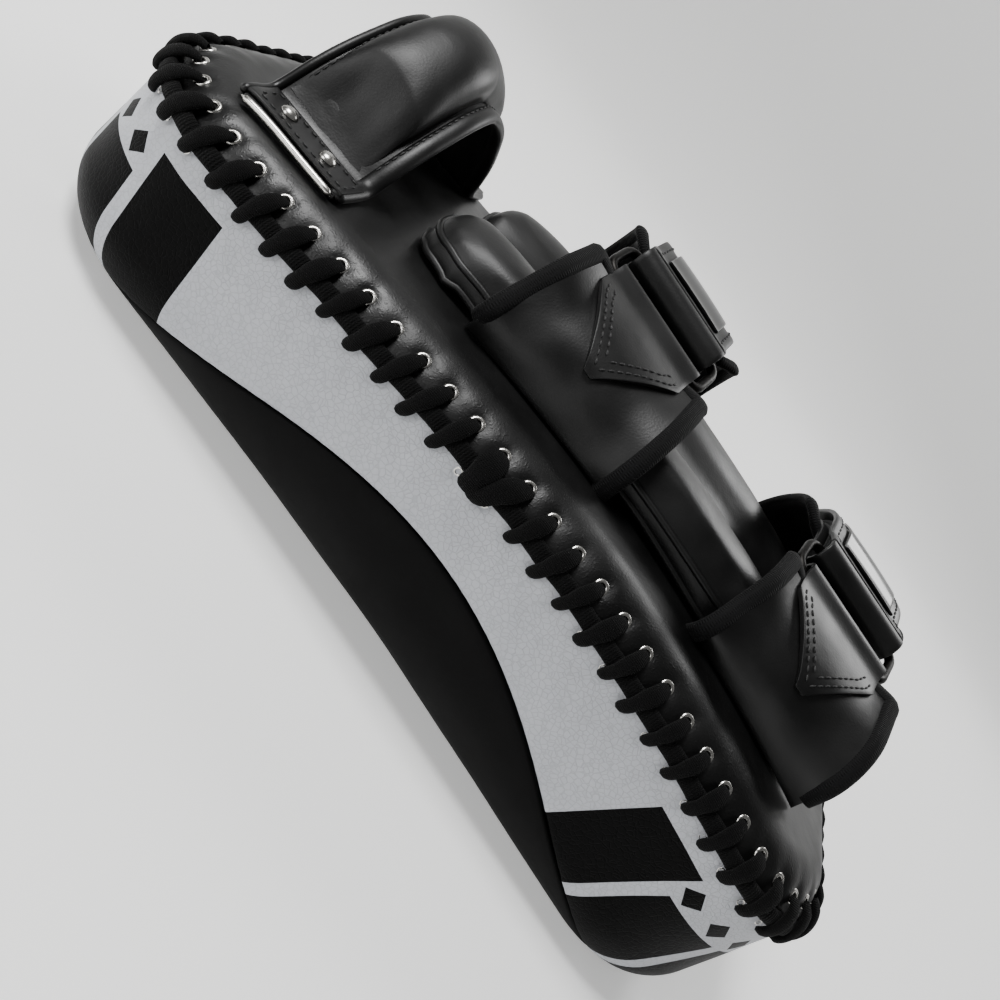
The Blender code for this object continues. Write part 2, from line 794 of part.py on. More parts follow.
def keeper_path(near_path, bar):
    # Up the outside of the near wing, round the ring's bar and back on the inside.
    outer = [tuple(p) for p in offset_path(near_path, keeper_offset)]
    inner = [tuple(p) for p in offset_path(near_path, -keeper_offset)]
    fold = arc_points(bar, keeper_fold_radius, 110, -60, 8)
    start = tuple((Vector(outer[1]) + Vector(outer[2])) / 2)
    return [start] + outer[2:] + fold + [inner[-1], inner[-2]]


def fixed_strap_path(far_path, hinge):
    upper = [tuple(p) for p in offset_path(far_path, -fixed_offset)][2:]
    low = hinge[1] - fold_radius
    free = [(15.0, low + 5.2), (7.0, low + 1.6), (1.5, low + 0.1), (hinge[0] + gap, low)]
    return upper + free


def make_strap(name, centre_x, drop, materials):
    near_top = dropped_path(near_wing_path, drop)
    far_top = dropped_path(far_wing_path, drop)
    hinge = (hinge_line[0], dropped(hinge_line[1], drop))
    bar = (keeper_bar[0], dropped(keeper_bar[1], drop))
    leather = materials["smooth_black"]
    wings = (("near", full_wing_path(near_top, centre_x)), ("far", full_wing_path(far_top, centre_x)))
    for side, path in wings:
        wing = ribbon(centre_x, path, wing_halves(path), wing_thickness, wing_base)
        new_object("%s_%s_wing" % (name, side), wing, leather)
        make_binding("%s_%s_binding" % (name, side), centre_x, path, materials["tape"])

    def band(piece, path, half, thickness, material, parent=None):
        new_object("%s_%s" % (name, piece), ribbon(centre_x, path, half, thickness), material, parent)

    path = keeper_path(near_top, bar)
    halves = [min(strap_half, 2.0 + strap_half * s / keeper_point_length) for s in path_length(path)]
    band("ring_keeper", path, halves, strap_thickness, leather)

    fixed = fixed_strap_path(far_top, hinge)
    band("closure_strap", fixed, [strap_half] * len(fixed), strap_thickness, leather)
    patch = offset_path(fixed, -patch_offset)[1:-1]
    band("loop_patch", patch, [patch_half] * len(patch), patch_thickness, materials["fleece"])
    fold = arc_points(hinge, fold_radius, -92.5, -267.5, 10)
    band("closure_fold", fold, [strap_half] * len(fold), strap_thickness, leather)

    flap_pivot = new_pivot(name + "_flap_hinge", centre_x, *hinge)
    over = offset_path(fixed, -flap_separation)
    top = hinge[1] + fold_radius
    flap = over[:-3] + [(7.0, top - 0.6), (hinge[0] + gap, top)]
    band("closure_flap", flap, [strap_half] * len(flap), strap_thickness, leather, flap_pivot)
    hook = offset_path(fixed, patch_offset - flap_separation)[1:-2]
    band("hook_patch", hook, [patch_half] * len(hook), patch_thickness, materials["fleece"], flap_pivot)
    badge = offset_path(flap, -badge_offset)[2:-1]
    band("flap_badge", badge, [badge_half] * len(badge), badge_thickness, materials["gloss"], flap_pivot)

    ring_pivot = new_pivot(name + "_ring_hinge", centre_x, *bar)
    across = Vector((0, hinge[0] - bar[0], hinge[1] - bar[1]))
    loop = ring_loop(Vector((centre_x, *bar)), across)
    new_object(name + "_ring", swept_tube(loop, ring_bar, 8, True, Vector((1, 0, 0)).cross(across)),
               materials["metal"], ring_pivot)


def ring_loop(near, across):
    # Rounded rectangle between the keeper's bar and the hinge line.
    length = across.length
    across = across.normalized()
    wide = Vector((1, 0, 0))
    points = []
    corners = ((ring_half, length, 0), (-ring_half, length, 90), (-ring_half, 0, 180), (ring_half, 0, 270))
    for u, v, start in corners:
        centre_u = u - math.copysign(ring_corner, u)
        centre_v = v - ring_corner if v else ring_corner
        for n in range(4):
            angle = math.radians(start + 30 * n)
            points.append(near + wide * (centre_u + ring_corner * math.cos(angle))
                          + across * (centre_v + ring_corner * math.sin(angle)))
    return points


def main():
    clear_scene()
    make_material("cutter", (0.5, 0.5, 0.5), 0.5)
    materials = {
        "smooth_black": make_material("smooth_black_leather", (0.018, 0.018, 0.019), 0.42),
        "grey_leather": make_material("grey_leather", (0.46, 0.47, 0.49), 0.5),
        "foam": make_material("closed_cell_foam", (0.55, 0.55, 0.52), 0.9),
        "tape": make_material("woven_tape", (0.02, 0.02, 0.021), 0.75),
        "lace": make_material("woven_lace", (0.016, 0.016, 0.017), 0.8),
        "fleece": make_material("hook_and_loop", (0.025, 0.025, 0.026), 0.95),
        "gloss": make_material("moulded_rubber", (0.03, 0.03, 0.031), 0.12),
        "metal": make_material("nickel_plate", (0.62, 0.61, 0.59), 0.28, 1.0),
    }
    back_panel = make_skins(materials)
    make_foams(materials["foam"])
    make_eyelet_band("back_eyelet_band", eyelet_arc, (seam_arc + 0.75, seam_arc + 0.75 + hem_width),
                     materials["smooth_black"])
    make_side_hem(materials["grey_leather"])
    make_lace(materials["lace"])
    grip_band = make_grip(materials)
    plates = make_flanges(materials)
    make_rivets([grip_band] + plates, back_panel, materials["metal"])
    make_vent(back_panel, materials["metal"])
    make_cushion(materials)
    for name, centre_x in strap_centres.items():
        make_strap(name, centre_x, strap_drops[name], materials)


main()
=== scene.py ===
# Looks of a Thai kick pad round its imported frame: laced leather skins, padded grip,
# forearm cushion and straps. Shapes are worked out in millimetres and set in metres.
import math
import random

import bpy
from mathutils import Matrix, Vector, noise


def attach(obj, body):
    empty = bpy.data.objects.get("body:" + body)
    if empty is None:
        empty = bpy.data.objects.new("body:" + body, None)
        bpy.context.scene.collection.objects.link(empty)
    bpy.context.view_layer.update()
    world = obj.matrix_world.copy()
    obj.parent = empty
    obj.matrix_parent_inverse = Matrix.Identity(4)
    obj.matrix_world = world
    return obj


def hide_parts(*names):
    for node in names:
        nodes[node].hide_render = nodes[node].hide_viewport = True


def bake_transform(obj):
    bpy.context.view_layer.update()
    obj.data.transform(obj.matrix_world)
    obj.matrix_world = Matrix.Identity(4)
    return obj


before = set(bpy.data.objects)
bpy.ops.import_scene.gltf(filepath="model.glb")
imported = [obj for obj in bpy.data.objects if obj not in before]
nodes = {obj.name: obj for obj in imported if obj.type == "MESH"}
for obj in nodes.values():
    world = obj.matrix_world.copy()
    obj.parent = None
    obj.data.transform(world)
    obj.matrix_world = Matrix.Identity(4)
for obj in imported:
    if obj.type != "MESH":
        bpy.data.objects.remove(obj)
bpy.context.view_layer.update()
mm = 0.001
print("frame loaded:", len(nodes), "nodes")


# ---- helpers
def deselectAll():
    for item in list(bpy.context.selected_objects):
        item.select_set(False)


def choose(piece):
    deselectAll()
    bpy.context.view_layer.objects.active = piece
    piece.select_set(True)


def applyModifier(piece, kind, **settings):
    choose(piece)
    modifier = piece.modifiers.new(kind.lower(), kind)
    for key, value in settings.items():
        setattr(modifier, key, value)
    bpy.ops.object.modifier_apply(modifier=modifier.name)


def hexColour(code):
    # sRGB hex to linear light
    parts = [int(code[i:i + 2], 16) / 255 for i in (1, 3, 5)]
    return [p / 12.92 if p <= 0.04045 else ((p + 0.055) / 1.055) ** 2.4 for p in parts] + [1.0]


def addNode(tree, kind, settings, sockets, output=0):
    node = tree.nodes.new("ShaderNode" + kind)
    for key, value in settings.items():
        setattr(node, key, value)
    for key, value in sockets.items():
        if isinstance(value, bpy.types.NodeSocket):
            tree.links.new(value, node.inputs[key])
        else:
            node.inputs[key].default_value = value
    return node.outputs[output]


def maths(tree, operation, *values):
    return addNode(tree, "Math", {"operation": operation}, dict(enumerate(values)))


def mixed(tree, factor, first, second):
    return addNode(tree, "Mix", {"data_type": "RGBA"}, {"Factor": factor, 6: first, 7: second}, 2)


def mottle(tree, place, size, detail):
    # soft cloudy noise with lumps of this size in millimetres
    return addNode(tree, "TexNoise", {}, {"Vector": place, "Scale": perMm(size), "Detail": detail})


def bumped(tree, height, strength, depth, under=None):
    # a bump of this depth in millimetres, on top of another one if it is given
    sockets = {"Height": height, "Strength": strength, "Distance": depth * mm}
    if under:
        sockets["Normal"] = under
    return addNode(tree, "Bump", {}, sockets)


def clamped(value):
    return min(max(value, 0), 1)


def tidyShell(piece, smoothAngle=50, recalculate=True):
    # closes seams and poles, turns the faces outwards and shades them
    choose(piece)
    bpy.ops.object.mode_set(mode="EDIT")
    bpy.ops.mesh.select_all(action="SELECT")
    bpy.ops.mesh.remove_doubles(threshold=0.00002)
    if recalculate:
        bpy.ops.mesh.normals_make_consistent(inside=False)
    bpy.ops.object.mode_set(mode="OBJECT")
    bpy.ops.object.shade_smooth_by_angle(angle=math.radians(smoothAngle))
    return piece


def shapeSheet(name, across, along, place, uvPlace):
    # a flat grid whose vertices are moved to place(u, v), given in millimetres
    deselectAll()
    bpy.ops.mesh.primitive_grid_add(x_subdivisions=across, y_subdivisions=along, size=2)
    piece = bpy.context.object
    piece.name = piece.data.name = name
    shares = [((v.co.x + 1) / 2, (v.co.y + 1) / 2) for v in piece.data.vertices]
    for vertex, (u, v) in zip(piece.data.vertices, shares):
        vertex.co = place(u, v) * mm
    layer = piece.data.uv_layers.active.data
    for loop in piece.data.loops:
        layer[loop.index].uv = uvPlace(*shares[loop.vertex_index])
    return piece


def joinAll(pieces, name):
    deselectAll()
    for piece in pieces:
        piece.select_set(True)
    bpy.context.view_layer.objects.active = pieces[0]
    if len(pieces) > 1:
        bpy.ops.object.join()
    pieces[0].name = pieces[0].data.name = name
    return pieces[0]


def copyOf(piece, matrix):
    twin = piece.copy()
    twin.data = piece.data.copy()
    bpy.context.scene.collection.objects.link(twin)
    twin.data.transform(matrix)
    return twin


def keep(piece, finish, body="root", stands=()):
    piece.data.materials.clear()
    piece.data.materials.append(finish)
    if stands:
        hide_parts(*stands)
    if body:
        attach(piece, body)
    return piece


def smoothPath(points, count, loop=False):
    # points spread evenly along a smooth curve through the given ones
    points = [Vector(p) for p in points]
    total = len(points)
    fine = []
    for i in range(total if loop else total - 1):
        a, b, c, d = [points[(i + k) % total] if loop else points[min(max(i + k, 0), total - 1)]
                      for k in (-1, 0, 1, 2)]
        for n in range(12):
            t = n / 12
            fine.append(0.5 * (2 * b + (c - a) * t + (2 * a - 5 * b + 4 * c - d) * t * t
                               + (3 * b - a - 3 * c + d) * t ** 3))
    fine.append(points[0] if loop else points[-1])
    lengths = [0.0]
    for a, b in zip(fine, fine[1:]):
        lengths.append(lengths[-1] + (b - a).length)
    result = []
    k = 0
    for n in range(count):
        target = lengths[-1] * n / (count if loop else count - 1)
        while k < len(fine) - 2 and lengths[k + 1] < target:
            k += 1
        share = (target - lengths[k]) / max(lengths[k + 1] - lengths[k], 1e-9)
        result.append(fine[k].lerp(fine[k + 1], min(share, 1.0)))
    return result


def pathLength(path):
    return sum((b - a).length for a, b in zip(path, path[1:]))


def smoothValue(table, place):
    # smooth look-up in a table of (place, value)
    table = sorted(table)
    if place <= table[0][0]:
        return table[0][1]
    for i in range(len(table) - 1):
        (a, low), (b, high) = table[i], table[i + 1]
        if place <= b:
            before = table[max(i - 1, 0)]
            after = table[min(i + 2, len(table) - 1)]
            start = (high - before[1]) / (b - before[0]) * (b - a)
            end = (after[1] - low) / (after[0] - a) * (b - a)
            t = (place - a) / (b - a)
            return (low * (2 * t ** 3 - 3 * t * t + 1) + start * (t ** 3 - 2 * t * t + t)
                    + high * (3 * t * t - 2 * t ** 3) + end * (t ** 3 - t * t))
    return table[-1][1]


def sweepTube(name, path, around, section, guide, loop=False):
    # a tube along a path; section(share) is its half width and half thickness, guide points
    # the way that its thickness lies
    count = len(path)
    frames = []
    for i, point in enumerate(path):
        before = path[i - 1] if i or loop else point
        after = path[(i + 1) % count] if i < count - 1 or loop else point
        along = (after - before).normalized()
        up = guide(i) if callable(guide) else guide
        side = along.cross(up).normalized()
        frames.append((point, side, side.cross(along)))
    steps = count if loop else count - 1
    length = pathLength(path)

    def place(u, v):
        row = round(v * steps)
        point, side, up = frames[row % count]
        half, thick = section(row / steps)
        angle = 2 * math.pi * u
        return point + side * half * math.cos(angle) + up * thick * math.sin(angle)

    girth = 2 * math.pi * max(section(0.5))
    return tidyShell(shapeSheet(name, around, steps, place, lambda u, v: (u * girth, v * length)), 60)


def turnedPiece(name, profile, around=24):
    # a closed solid turned about Z from (radius, height) points
    last = len(profile) - 1

    def place(u, v):
        radius, height = profile[round(v * last)]
        angle = 2 * math.pi * u
        return Vector((radius * math.cos(angle), radius * math.sin(angle), height))

    return tidyShell(shapeSheet(name, around, last, place, lambda u, v: (u, v)), 40)


def wander(x, y, z, size):
    # slow unevenness between about -1 and 1, over lumps of the given size
    return noise.noise(Vector((x / size, y / size, z / size)))


# ---- camera, floor and light
cameraPlan = {"place": (-0.026269, -0.416830, 0.218186), "back": (-0.06932754, -0.91969368, 0.38646763),
              "roll": 57.183888, "lens": 37.785}


def makeCamera(plan):
    back = Vector(plan["back"]).normalized()
    right = Vector((0, 0, 1)).cross(back).normalized()
    up = back.cross(right)
    roll = math.radians(plan["roll"])
    across = right * math.cos(roll) + up * math.sin(roll)
    upward = back.cross(across)
    data = bpy.data.cameras.new("camera")
    data.lens = plan["lens"]
    data.sensor_width = 36
    data.clip_start = 0.01
    camera = bpy.data.objects.new("camera", data)
    bpy.context.scene.collection.objects.link(camera)
    matrix = Matrix((across, upward, back)).transposed().to_4x4()
    camera.matrix_world = Matrix.Translation(Vector(plan["place"])) @ matrix
    bpy.context.scene.camera = camera


makeCamera(cameraPlan)

studio = {"floorHalf": 2.6, "wallHeight": 3.2, "bend": 1.2, "floorColour": "#fbfbfa",
          "worldColour": "#ffffff", "glow": 0.42, "worldStrength": 0.13}
# name, place, aim, size, watts
lamps = (("keyLamp", (-0.75, -0.25, 1.35), (-0.03, -0.04, 0.09), 0.5, 26.0),
         ("sideLamp", (-1.0, -1.3, 0.55), (0.0, 0.0, 0.05), 0.7, 9.0),
         ("backLamp", (0.55, 1.1, 1.1), (0.05, 0.0, 0.1), 0.6, 9.0))


def makeStudio(plan):
    half, rise, bend = plan["floorHalf"], plan["wallHeight"], plan["bend"]

    def place(u, v):
        # a floor that sweeps up into a wall behind the object
        run = v * (2 * half + rise)
        x = (2 * u - 1) * 2.2 * half
        if run <= 2 * half - bend:
            return Vector((x, run - half, 0)) / mm
        turn = min((run - 2 * half + bend) / bend, math.pi / 2)
        up = max(run - 2 * half + bend - bend * math.pi / 2, 0)
        return Vector((x, half - bend + bend * math.sin(turn), bend - bend * math.cos(turn) + up)) / mm

    floor = shapeSheet("studioFloor", 8, 90, place, lambda u, v: (u, v))
    floor.data.transform(Matrix.Translation((0, 0, -0.0006)))
    choose(floor)
    bpy.ops.object.shade_smooth()
    paper = bpy.data.materials.new("studioAcrylic")  # matt white acrylic sheet, lit from below
    paper.use_nodes = True
    shader = paper.node_tree.nodes["Principled BSDF"]
    shader.inputs["Base Color"].default_value = hexColour(plan["floorColour"])
    shader.inputs["Roughness"].default_value = 0.9
    shader.inputs["Specular IOR Level"].default_value = 0.1
    shader.inputs["Emission Color"].default_value = hexColour(plan["floorColour"])
    shader.inputs["Emission Strength"].default_value = plan["glow"]
    floor.data.materials.append(paper)
    world = bpy.data.worlds.new("studioAir")
    world.use_nodes = True
    background = world.node_tree.nodes["Background"]
    background.inputs["Color"].default_value = hexColour(plan["worldColour"])
    background.inputs["Strength"].default_value = plan["worldStrength"]
    bpy.context.scene.world = world
    for name, spot, aim, size, watts in lamps:
        light = bpy.data.lights.new(name, "AREA")
        light.size = size
        light.energy = watts
        lamp = bpy.data.objects.new(name, light)
        lamp.location = spot
        lamp.rotation_euler = (Vector(spot) - Vector(aim)).to_track_quat("Z", "Y").to_euler()
        bpy.context.scene.collection.objects.link(lamp)


makeStudio(studio)
print("camera, floor and light made")


# ---- finishes
def startFinish(name, colour, roughness, **sockets):
    finish = bpy.data.materials.new(name)
    finish.use_nodes = True
    shader = finish.node_tree.nodes["Principled BSDF"]
    shader.inputs["Base Color"].default_value = hexColour(colour)
    shader.inputs["Roughness"].default_value = roughness
    for key, value in sockets.items():
        shader.inputs[key.replace("_", " ")].default_value = value
    return finish, finish.node_tree, shader


def perMm(size):
    # texture scale that makes a pattern of this size in millimetres, on metre coordinates
    return 1000.0 / size


# black polyurethane leather: smooth, semi-gloss, with a fine hair-cell grain and soft creases
blackLeather = {"colour": "#040404", "light": "#0a0a0a", "roughness": (0.36, 0.5), "specular": 0.4,
                "grain": 0.8, "grainDepth": 0.05, "crease": 7.0, "creaseDepth": 0.2, "patch": 28.0}


def leatherFinish(name, plan):
    finish, tree, shader = startFinish(name, plan["colour"], plan["roughness"][0])
    shader.inputs["Specular IOR Level"].default_value = plan["specular"]
    place = addNode(tree, "TexCoord", {}, {}, "Object")
    patch = mottle(tree, place, plan["patch"], 3.0)
    tone = addNode(tree, "ValToRGB", {}, {"Fac": patch})
    ramp = tone.node.color_ramp
    ramp.elements[0].position, ramp.elements[1].position = 0.35, 0.7
    ramp.elements[0].color, ramp.elements[1].color = hexColour(plan["colour"]), hexColour(plan["light"])
    tree.links.new(tone, shader.inputs["Base Color"])
    gloss = addNode(tree, "MapRange", {}, {"Value": patch, "From Min": 0.3, "From Max": 0.7,
                                           "To Min": plan["roughness"][0], "To Max": plan["roughness"][1]})
    tree.links.new(gloss, shader.inputs["Roughness"])
    crease = addNode(tree, "TexNoise", {"noise_type": "RIDGED_MULTIFRACTAL"},
                     {"Vector": place, "Scale": perMm(plan["crease"]), "Detail": 3.0})
    folds = bumped(tree, crease, 0.35, plan["creaseDepth"])
    cells = addNode(tree, "TexVoronoi", {"feature": "SMOOTH_F1"},
                    {"Vector": place, "Scale": perMm(plan["grain"])})
    if "wrinkle" in plan:
        # fine gathered wrinkles in a band beside the lacing; UV Y is the distance over the shoulder in mm
        arc = addNode(tree, "SeparateXYZ", {}, {"Vector": addNode(tree, "UVMap", {}, {})}, 1)
        band = addNode(tree, "MapRange", {"interpolation_type": "SMOOTHSTEP"},
                       {"Value": arc, "From Min": plan["wrinkleEnd"], "From Max": 12.0, "To Min": 0.0,
                        "To Max": 1.0})
        fine = addNode(tree, "TexNoise", {"noise_type": "RIDGED_MULTIFRACTAL"},
                       {"Vector": place, "Scale": perMm(plan["wrinkle"]), "Detail": 3.0, "Distortion": 0.6})
        height = maths(tree, "MULTIPLY", fine, band)
        folds = bumped(tree, height, 0.45, plan["wrinkleDepth"], folds)
    skin = bumped(tree, cells, 0.6, plan["grainDepth"], folds)
    tree.links.new(skin, shader.inputs["Normal"])
    return finish


# light grey polyurethane leather with a pebble grain; the print is smooth black ink on it
greyLeather = {"colour": "#acaeb3", "light": "#b8babf", "ink": "#010101", "roughness": 0.5, "pebble": 2.1,
               "pebbleDepth": 0.2, "patch": 22.0, "shine": (0.35, 0.06)}
# print distances run round the pad from the grip end and down from the lacing
printPlan = {"gripEnd": 137.0, "gripLean": 0.18, "elbowStart": 384.0, "elbowLean": 0.4, "pitch": 36.0,
             "barShare": 0.84, "barTop": 20.0, "firstTop": 6.0, "diamondDown": 13.0, "diamondPitch": 17.0,
             "diamondHalf": 5.2, "gripDiamonds": (72.0, 123.0), "elbowDiamonds": (408.0, 459.0)}


def inkMask(tree, plan):
    # slanted bars on both ends and three small diamonds beside the lacing
    place = addNode(tree, "UVMap", {}, {})
    parts = addNode(tree, "SeparateXYZ", {}, {"Vector": place})
    along = parts.node.outputs["X"]
    down = maths(tree, "MULTIPLY", parts.node.outputs["Y"], -1.0)
    leanGrip = maths(tree, "MULTIPLY_ADD", down, plan["gripLean"], plan["gripEnd"])
    fromGrip = maths(tree, "SUBTRACT", leanGrip, along)
    leanElbow = maths(tree, "MULTIPLY_ADD", down, plan["elbowLean"], -plan["elbowStart"])
    fromElbow = maths(tree, "ADD", leanElbow, along)
    inside = maths(tree, "MAXIMUM", fromGrip, fromElbow)
    onEnds = maths(tree, "GREATER_THAN", inside, 0.0)
    beat = maths(tree, "DIVIDE", inside, plan["pitch"])
    phase = maths(tree, "FRACT", beat)
    bar = maths(tree, "LESS_THAN", phase, plan["barShare"])
    later = maths(tree, "GREATER_THAN", beat, 1.0)
    top = maths(tree, "MULTIPLY_ADD", later, plan["barTop"] - plan["firstTop"], plan["firstTop"])
    low = maths(tree, "GREATER_THAN", down, top)
    bars = maths(tree, "MULTIPLY", bar, low)
    bars = maths(tree, "MULTIPLY", bars, onEnds)
    masks = [bars]
    offset = maths(tree, "SUBTRACT", down, plan["diamondDown"])
    height = maths(tree, "ABSOLUTE", offset)
    for key in ("gripDiamonds", "elbowDiamonds"):
        start, end = plan[key]
        local = maths(tree, "SUBTRACT", along, start)
        beat = maths(tree, "DIVIDE", local, plan["diamondPitch"])
        phase = maths(tree, "FRACT", beat)
        middle = maths(tree, "SUBTRACT", phase, 0.5)
        side = maths(tree, "ABSOLUTE", middle)
        reach = maths(tree, "MULTIPLY_ADD", side, plan["diamondPitch"], height)
        shape = maths(tree, "LESS_THAN", reach, plan["diamondHalf"])
        after = maths(tree, "GREATER_THAN", along, start)
        before = maths(tree, "LESS_THAN", along, end)
        shape = maths(tree, "MULTIPLY", shape, after)
        masks.append(maths(tree, "MULTIPLY", shape, before))
    both = maths(tree, "MAXIMUM", masks[1], masks[2])
    return maths(tree, "MAXIMUM", masks[0], both)


def pebbleFinish(name, plan):
    finish, tree, shader = startFinish(name, plan["colour"], plan["roughness"])
    place = addNode(tree, "TexCoord", {}, {}, "Object")
    patch = mottle(tree, place, plan["patch"], 4.0)
    tone = mixed(tree, patch, hexColour(plan["colour"]), hexColour(plan["light"]))
    wobble = addNode(tree, "TexNoise", {}, {"Vector": place, "Scale": perMm(5.0), "Detail": 2.0}, "Color")
    bent = addNode(tree, "VectorMath", {"operation": "MULTIPLY_ADD"},
                   {0: wobble, 1: (0.0016, 0.0016, 0.0016), 2: place})
    cells = addNode(tree, "TexVoronoi", {"feature": "DISTANCE_TO_EDGE"},
                    {"Vector": bent, "Scale": perMm(plan["pebble"])})
    pebble = addNode(tree, "MapRange", {"interpolation_type": "SMOOTHSTEP"},
                     {"Value": cells, "From Min": 0.0, "From Max": 0.11, "To Min": 0.0, "To Max": 1.0})
    # painted shade: the colour is darkened by 14 % in the grooves between the pebbles
    groove = addNode(tree, "Mix", {"data_type": "RGBA", "blend_type": "MULTIPLY"},
                     {"Factor": 0.14, 6: tone, 7: pebble}, 2)
    ink = inkMask(tree, printPlan)
    printed = mixed(tree, ink, groove, hexColour(plan["ink"]))
    tree.links.new(printed, shader.inputs["Base Color"])
    shine = addNode(tree, "MapRange", {},
                    {"Value": ink, "To Min": plan["shine"][0], "To Max": plan["shine"][1]})
    tree.links.new(shine, shader.inputs["Specular IOR Level"])
    slow = mottle(tree, place, 9.0, 3.0)
    folds = bumped(tree, slow, 0.4, 0.5)
    skin = bumped(tree, pebble, 0.55, plan["pebbleDepth"], folds)
    tree.links.new(skin, shader.inputs["Normal"])
    return finish


# woven cords and tapes: matt polyester yarn in ribs; the piece's UV map is in millimetres
wovenLace = {"colour": "#010101", "light": "#080808", "ribs": (0.9, 1.1), "depth": 0.5, "roughness": 0.85,
             "sheen": 0.02, "specular": 0.1}
wovenTape = {"colour": "#040404", "light": "#0b0b0c", "ribs": (3.0, 0.9), "depth": 0.25, "roughness": 0.8,
             "sheen": 0.03, "specular": 0.15}


def wovenFinish(name, plan):
    finish, tree, shader = startFinish(name, plan["colour"], plan["roughness"])
    shader.inputs["Sheen Weight"].default_value = plan["sheen"]
    shader.inputs["Sheen Roughness"].default_value = 0.5
    shader.inputs["Specular IOR Level"].default_value = plan["specular"]
    place = addNode(tree, "UVMap", {}, {})
    parts = addNode(tree, "SeparateXYZ", {}, {"Vector": place})
    waves = []
    for output, size in zip(("X", "Y"), plan["ribs"]):
        turn = maths(tree, "MULTIPLY", parts.node.outputs[output], 2 * math.pi / size)
        waves.append(maths(tree, "SINE", turn))
    weave = maths(tree, "MULTIPLY", waves[0], waves[1])
    rib = maths(tree, "ADD", weave, waves[1])
    object3d = addNode(tree, "TexCoord", {}, {}, "Object")
    fuzz = mottle(tree, object3d, 0.7, 2.0)
    height = maths(tree, "MULTIPLY_ADD", rib, 0.4, fuzz)
    # the colour follows the height: random fuzz tone, and painted shade that makes the rib valleys darker and
    # the rib crests lighter
    tone = mixed(tree, height, hexColour(plan["colour"]), hexColour(plan["light"]))
    tree.links.new(tone, shader.inputs["Base Color"])
    bump = bumped(tree, height, 0.7, plan["depth"])
    tree.links.new(bump, shader.inputs["Normal"])
    return finish


def grainFinish(name, colour, light, roughness, grain, depth, **sockets):
    # a plain material with a fine uneven surface
    finish, tree, shader = startFinish(name, colour, roughness, **sockets)
    place = addNode(tree, "TexCoord", {}, {}, "Object")
    spots = mottle(tree, place, grain, 3.0)
    tone = mixed(tree, spots, hexColour(colour), hexColour(light))
    tree.links.new(tone, shader.inputs["Base Color"])
    gloss = addNode(tree, "MapRange", {}, {"Value": spots, "From Min": 0.3, "From Max": 0.7,
                                           "To Min": roughness * 0.85, "To Max": min(roughness * 1.2, 1.0)})
    tree.links.new(gloss, shader.inputs["Roughness"])
    bump = bumped(tree, spots, 0.5, depth)
    tree.links.new(bump, shader.inputs["Normal"])
    return finish


finishes = {
    "leather": leatherFinish("blackPuLeather", blackLeather),
    "grey": pebbleFinish("greyPebblePuLeather", greyLeather),
    "lace": wovenFinish("wovenPolyesterLace", wovenLace),
    "tape": wovenFinish("grosgrainBindingTape", wovenTape),
    # electroplated nickel on brass: bright, faintly brushed
    "nickel": grainFinish("nickelPlatedBrass", "#c9c7c2", "#dedcd7", 0.24, 0.6, 0.01, Metallic=1.0),
    # blackened steel wire: dull and dark
    "wire": grainFinish("blackenedSteelWire", "#1c1b1a", "#282726", 0.42, 1.4, 0.02, Metallic=1.0),
    # injection-moulded thermoplastic rubber: glossy and slightly wavy
    "rubber": grainFinish("glossyMouldedRubber", "#0a0a0b", "#101011", 0.14, 14.0, 0.05),
    # hook and loop tape: a dense matt pile
    "pile": grainFinish("hookAndLoopPile", "#060606", "#101010", 0.95, 0.55, 0.5, Sheen_Weight=0.15),
    # closed-cell polyethylene foam: matt, pale, fine cells
    "foam": grainFinish("closedCellFoam", "#b9b8b0", "#c8c7c0", 0.9, 1.2, 0.15),
    # bonded polyester sewing thread
    "thread": grainFinish("bondedSewingThread", "#060606", "#0d0d0d", 0.6, 0.5, 0.08),
}
print("finishes made:", len(finishes))


# ---- the pad's surface, as in the CAD: millimetres, X along the pad, Y across, Z towards the back
pad = {"halfLength": 200.0, "halfWidth": 100.0, "corner": 58.0, "shoulder": 22.0, "drop": 15.0, "crown": 3.0,
       "crownEnd": 96.0, "stitches": 78, "eyeletInset": 5.9, "eyeletArc": 16.5, "sideEyeletArc": 1.2,
       "seamArc": 6.75, "pitch": 13.63, "backPlace": 0.5, "sidePlace": 0.2}
shoulderArc = pad["shoulder"] * math.pi / 2
lacingSeed = 7


def seamHeight(x):
    return 74 + 21 * math.cos(math.pi * (x - 45) / 520) ** 2


def faceRadius(x):
    return 24 + 13 * math.cos(math.pi * max(-1, min(1, x / 190)) / 2) ** 2


def coverSeamHeight(x):
    return 4.5 + 49 * math.cos(math.pi * max(-1, min(1, (x - 10) / 158)) / 2) ** 1.35


def crown(inset):
    share = (pad["crownEnd"] - min(inset, pad["crownEnd"])) / (pad["crownEnd"] - pad["shoulder"])
    return pad["crown"] * (1 - share * share)


def backHeight(x, y):
    dx = abs(x) - (pad["halfLength"] - pad["corner"])
    dy = abs(y) - (pad["halfWidth"] - pad["corner"])
    inset = pad["corner"] - math.hypot(max(dx, 0), max(dy, 0)) - min(max(dx, dy), 0)
    base = seamHeight(x) - pad["drop"]
    if inset >= pad["shoulder"]:
        return base + pad["shoulder"] + crown(inset)
    run = pad["shoulder"] - max(inset, 0)
    return base + math.sqrt(pad["shoulder"] ** 2 - run ** 2)


def backNormal(x, y, reach=6.0):
    slopeX = (backHeight(x + reach, y) - backHeight(x - reach, y)) / (2 * reach)
    slopeY = (backHeight(x, y + reach) - backHeight(x, y - reach)) / (2 * reach)
    return Vector((-slopeX, -slopeY, 1)).normalized()


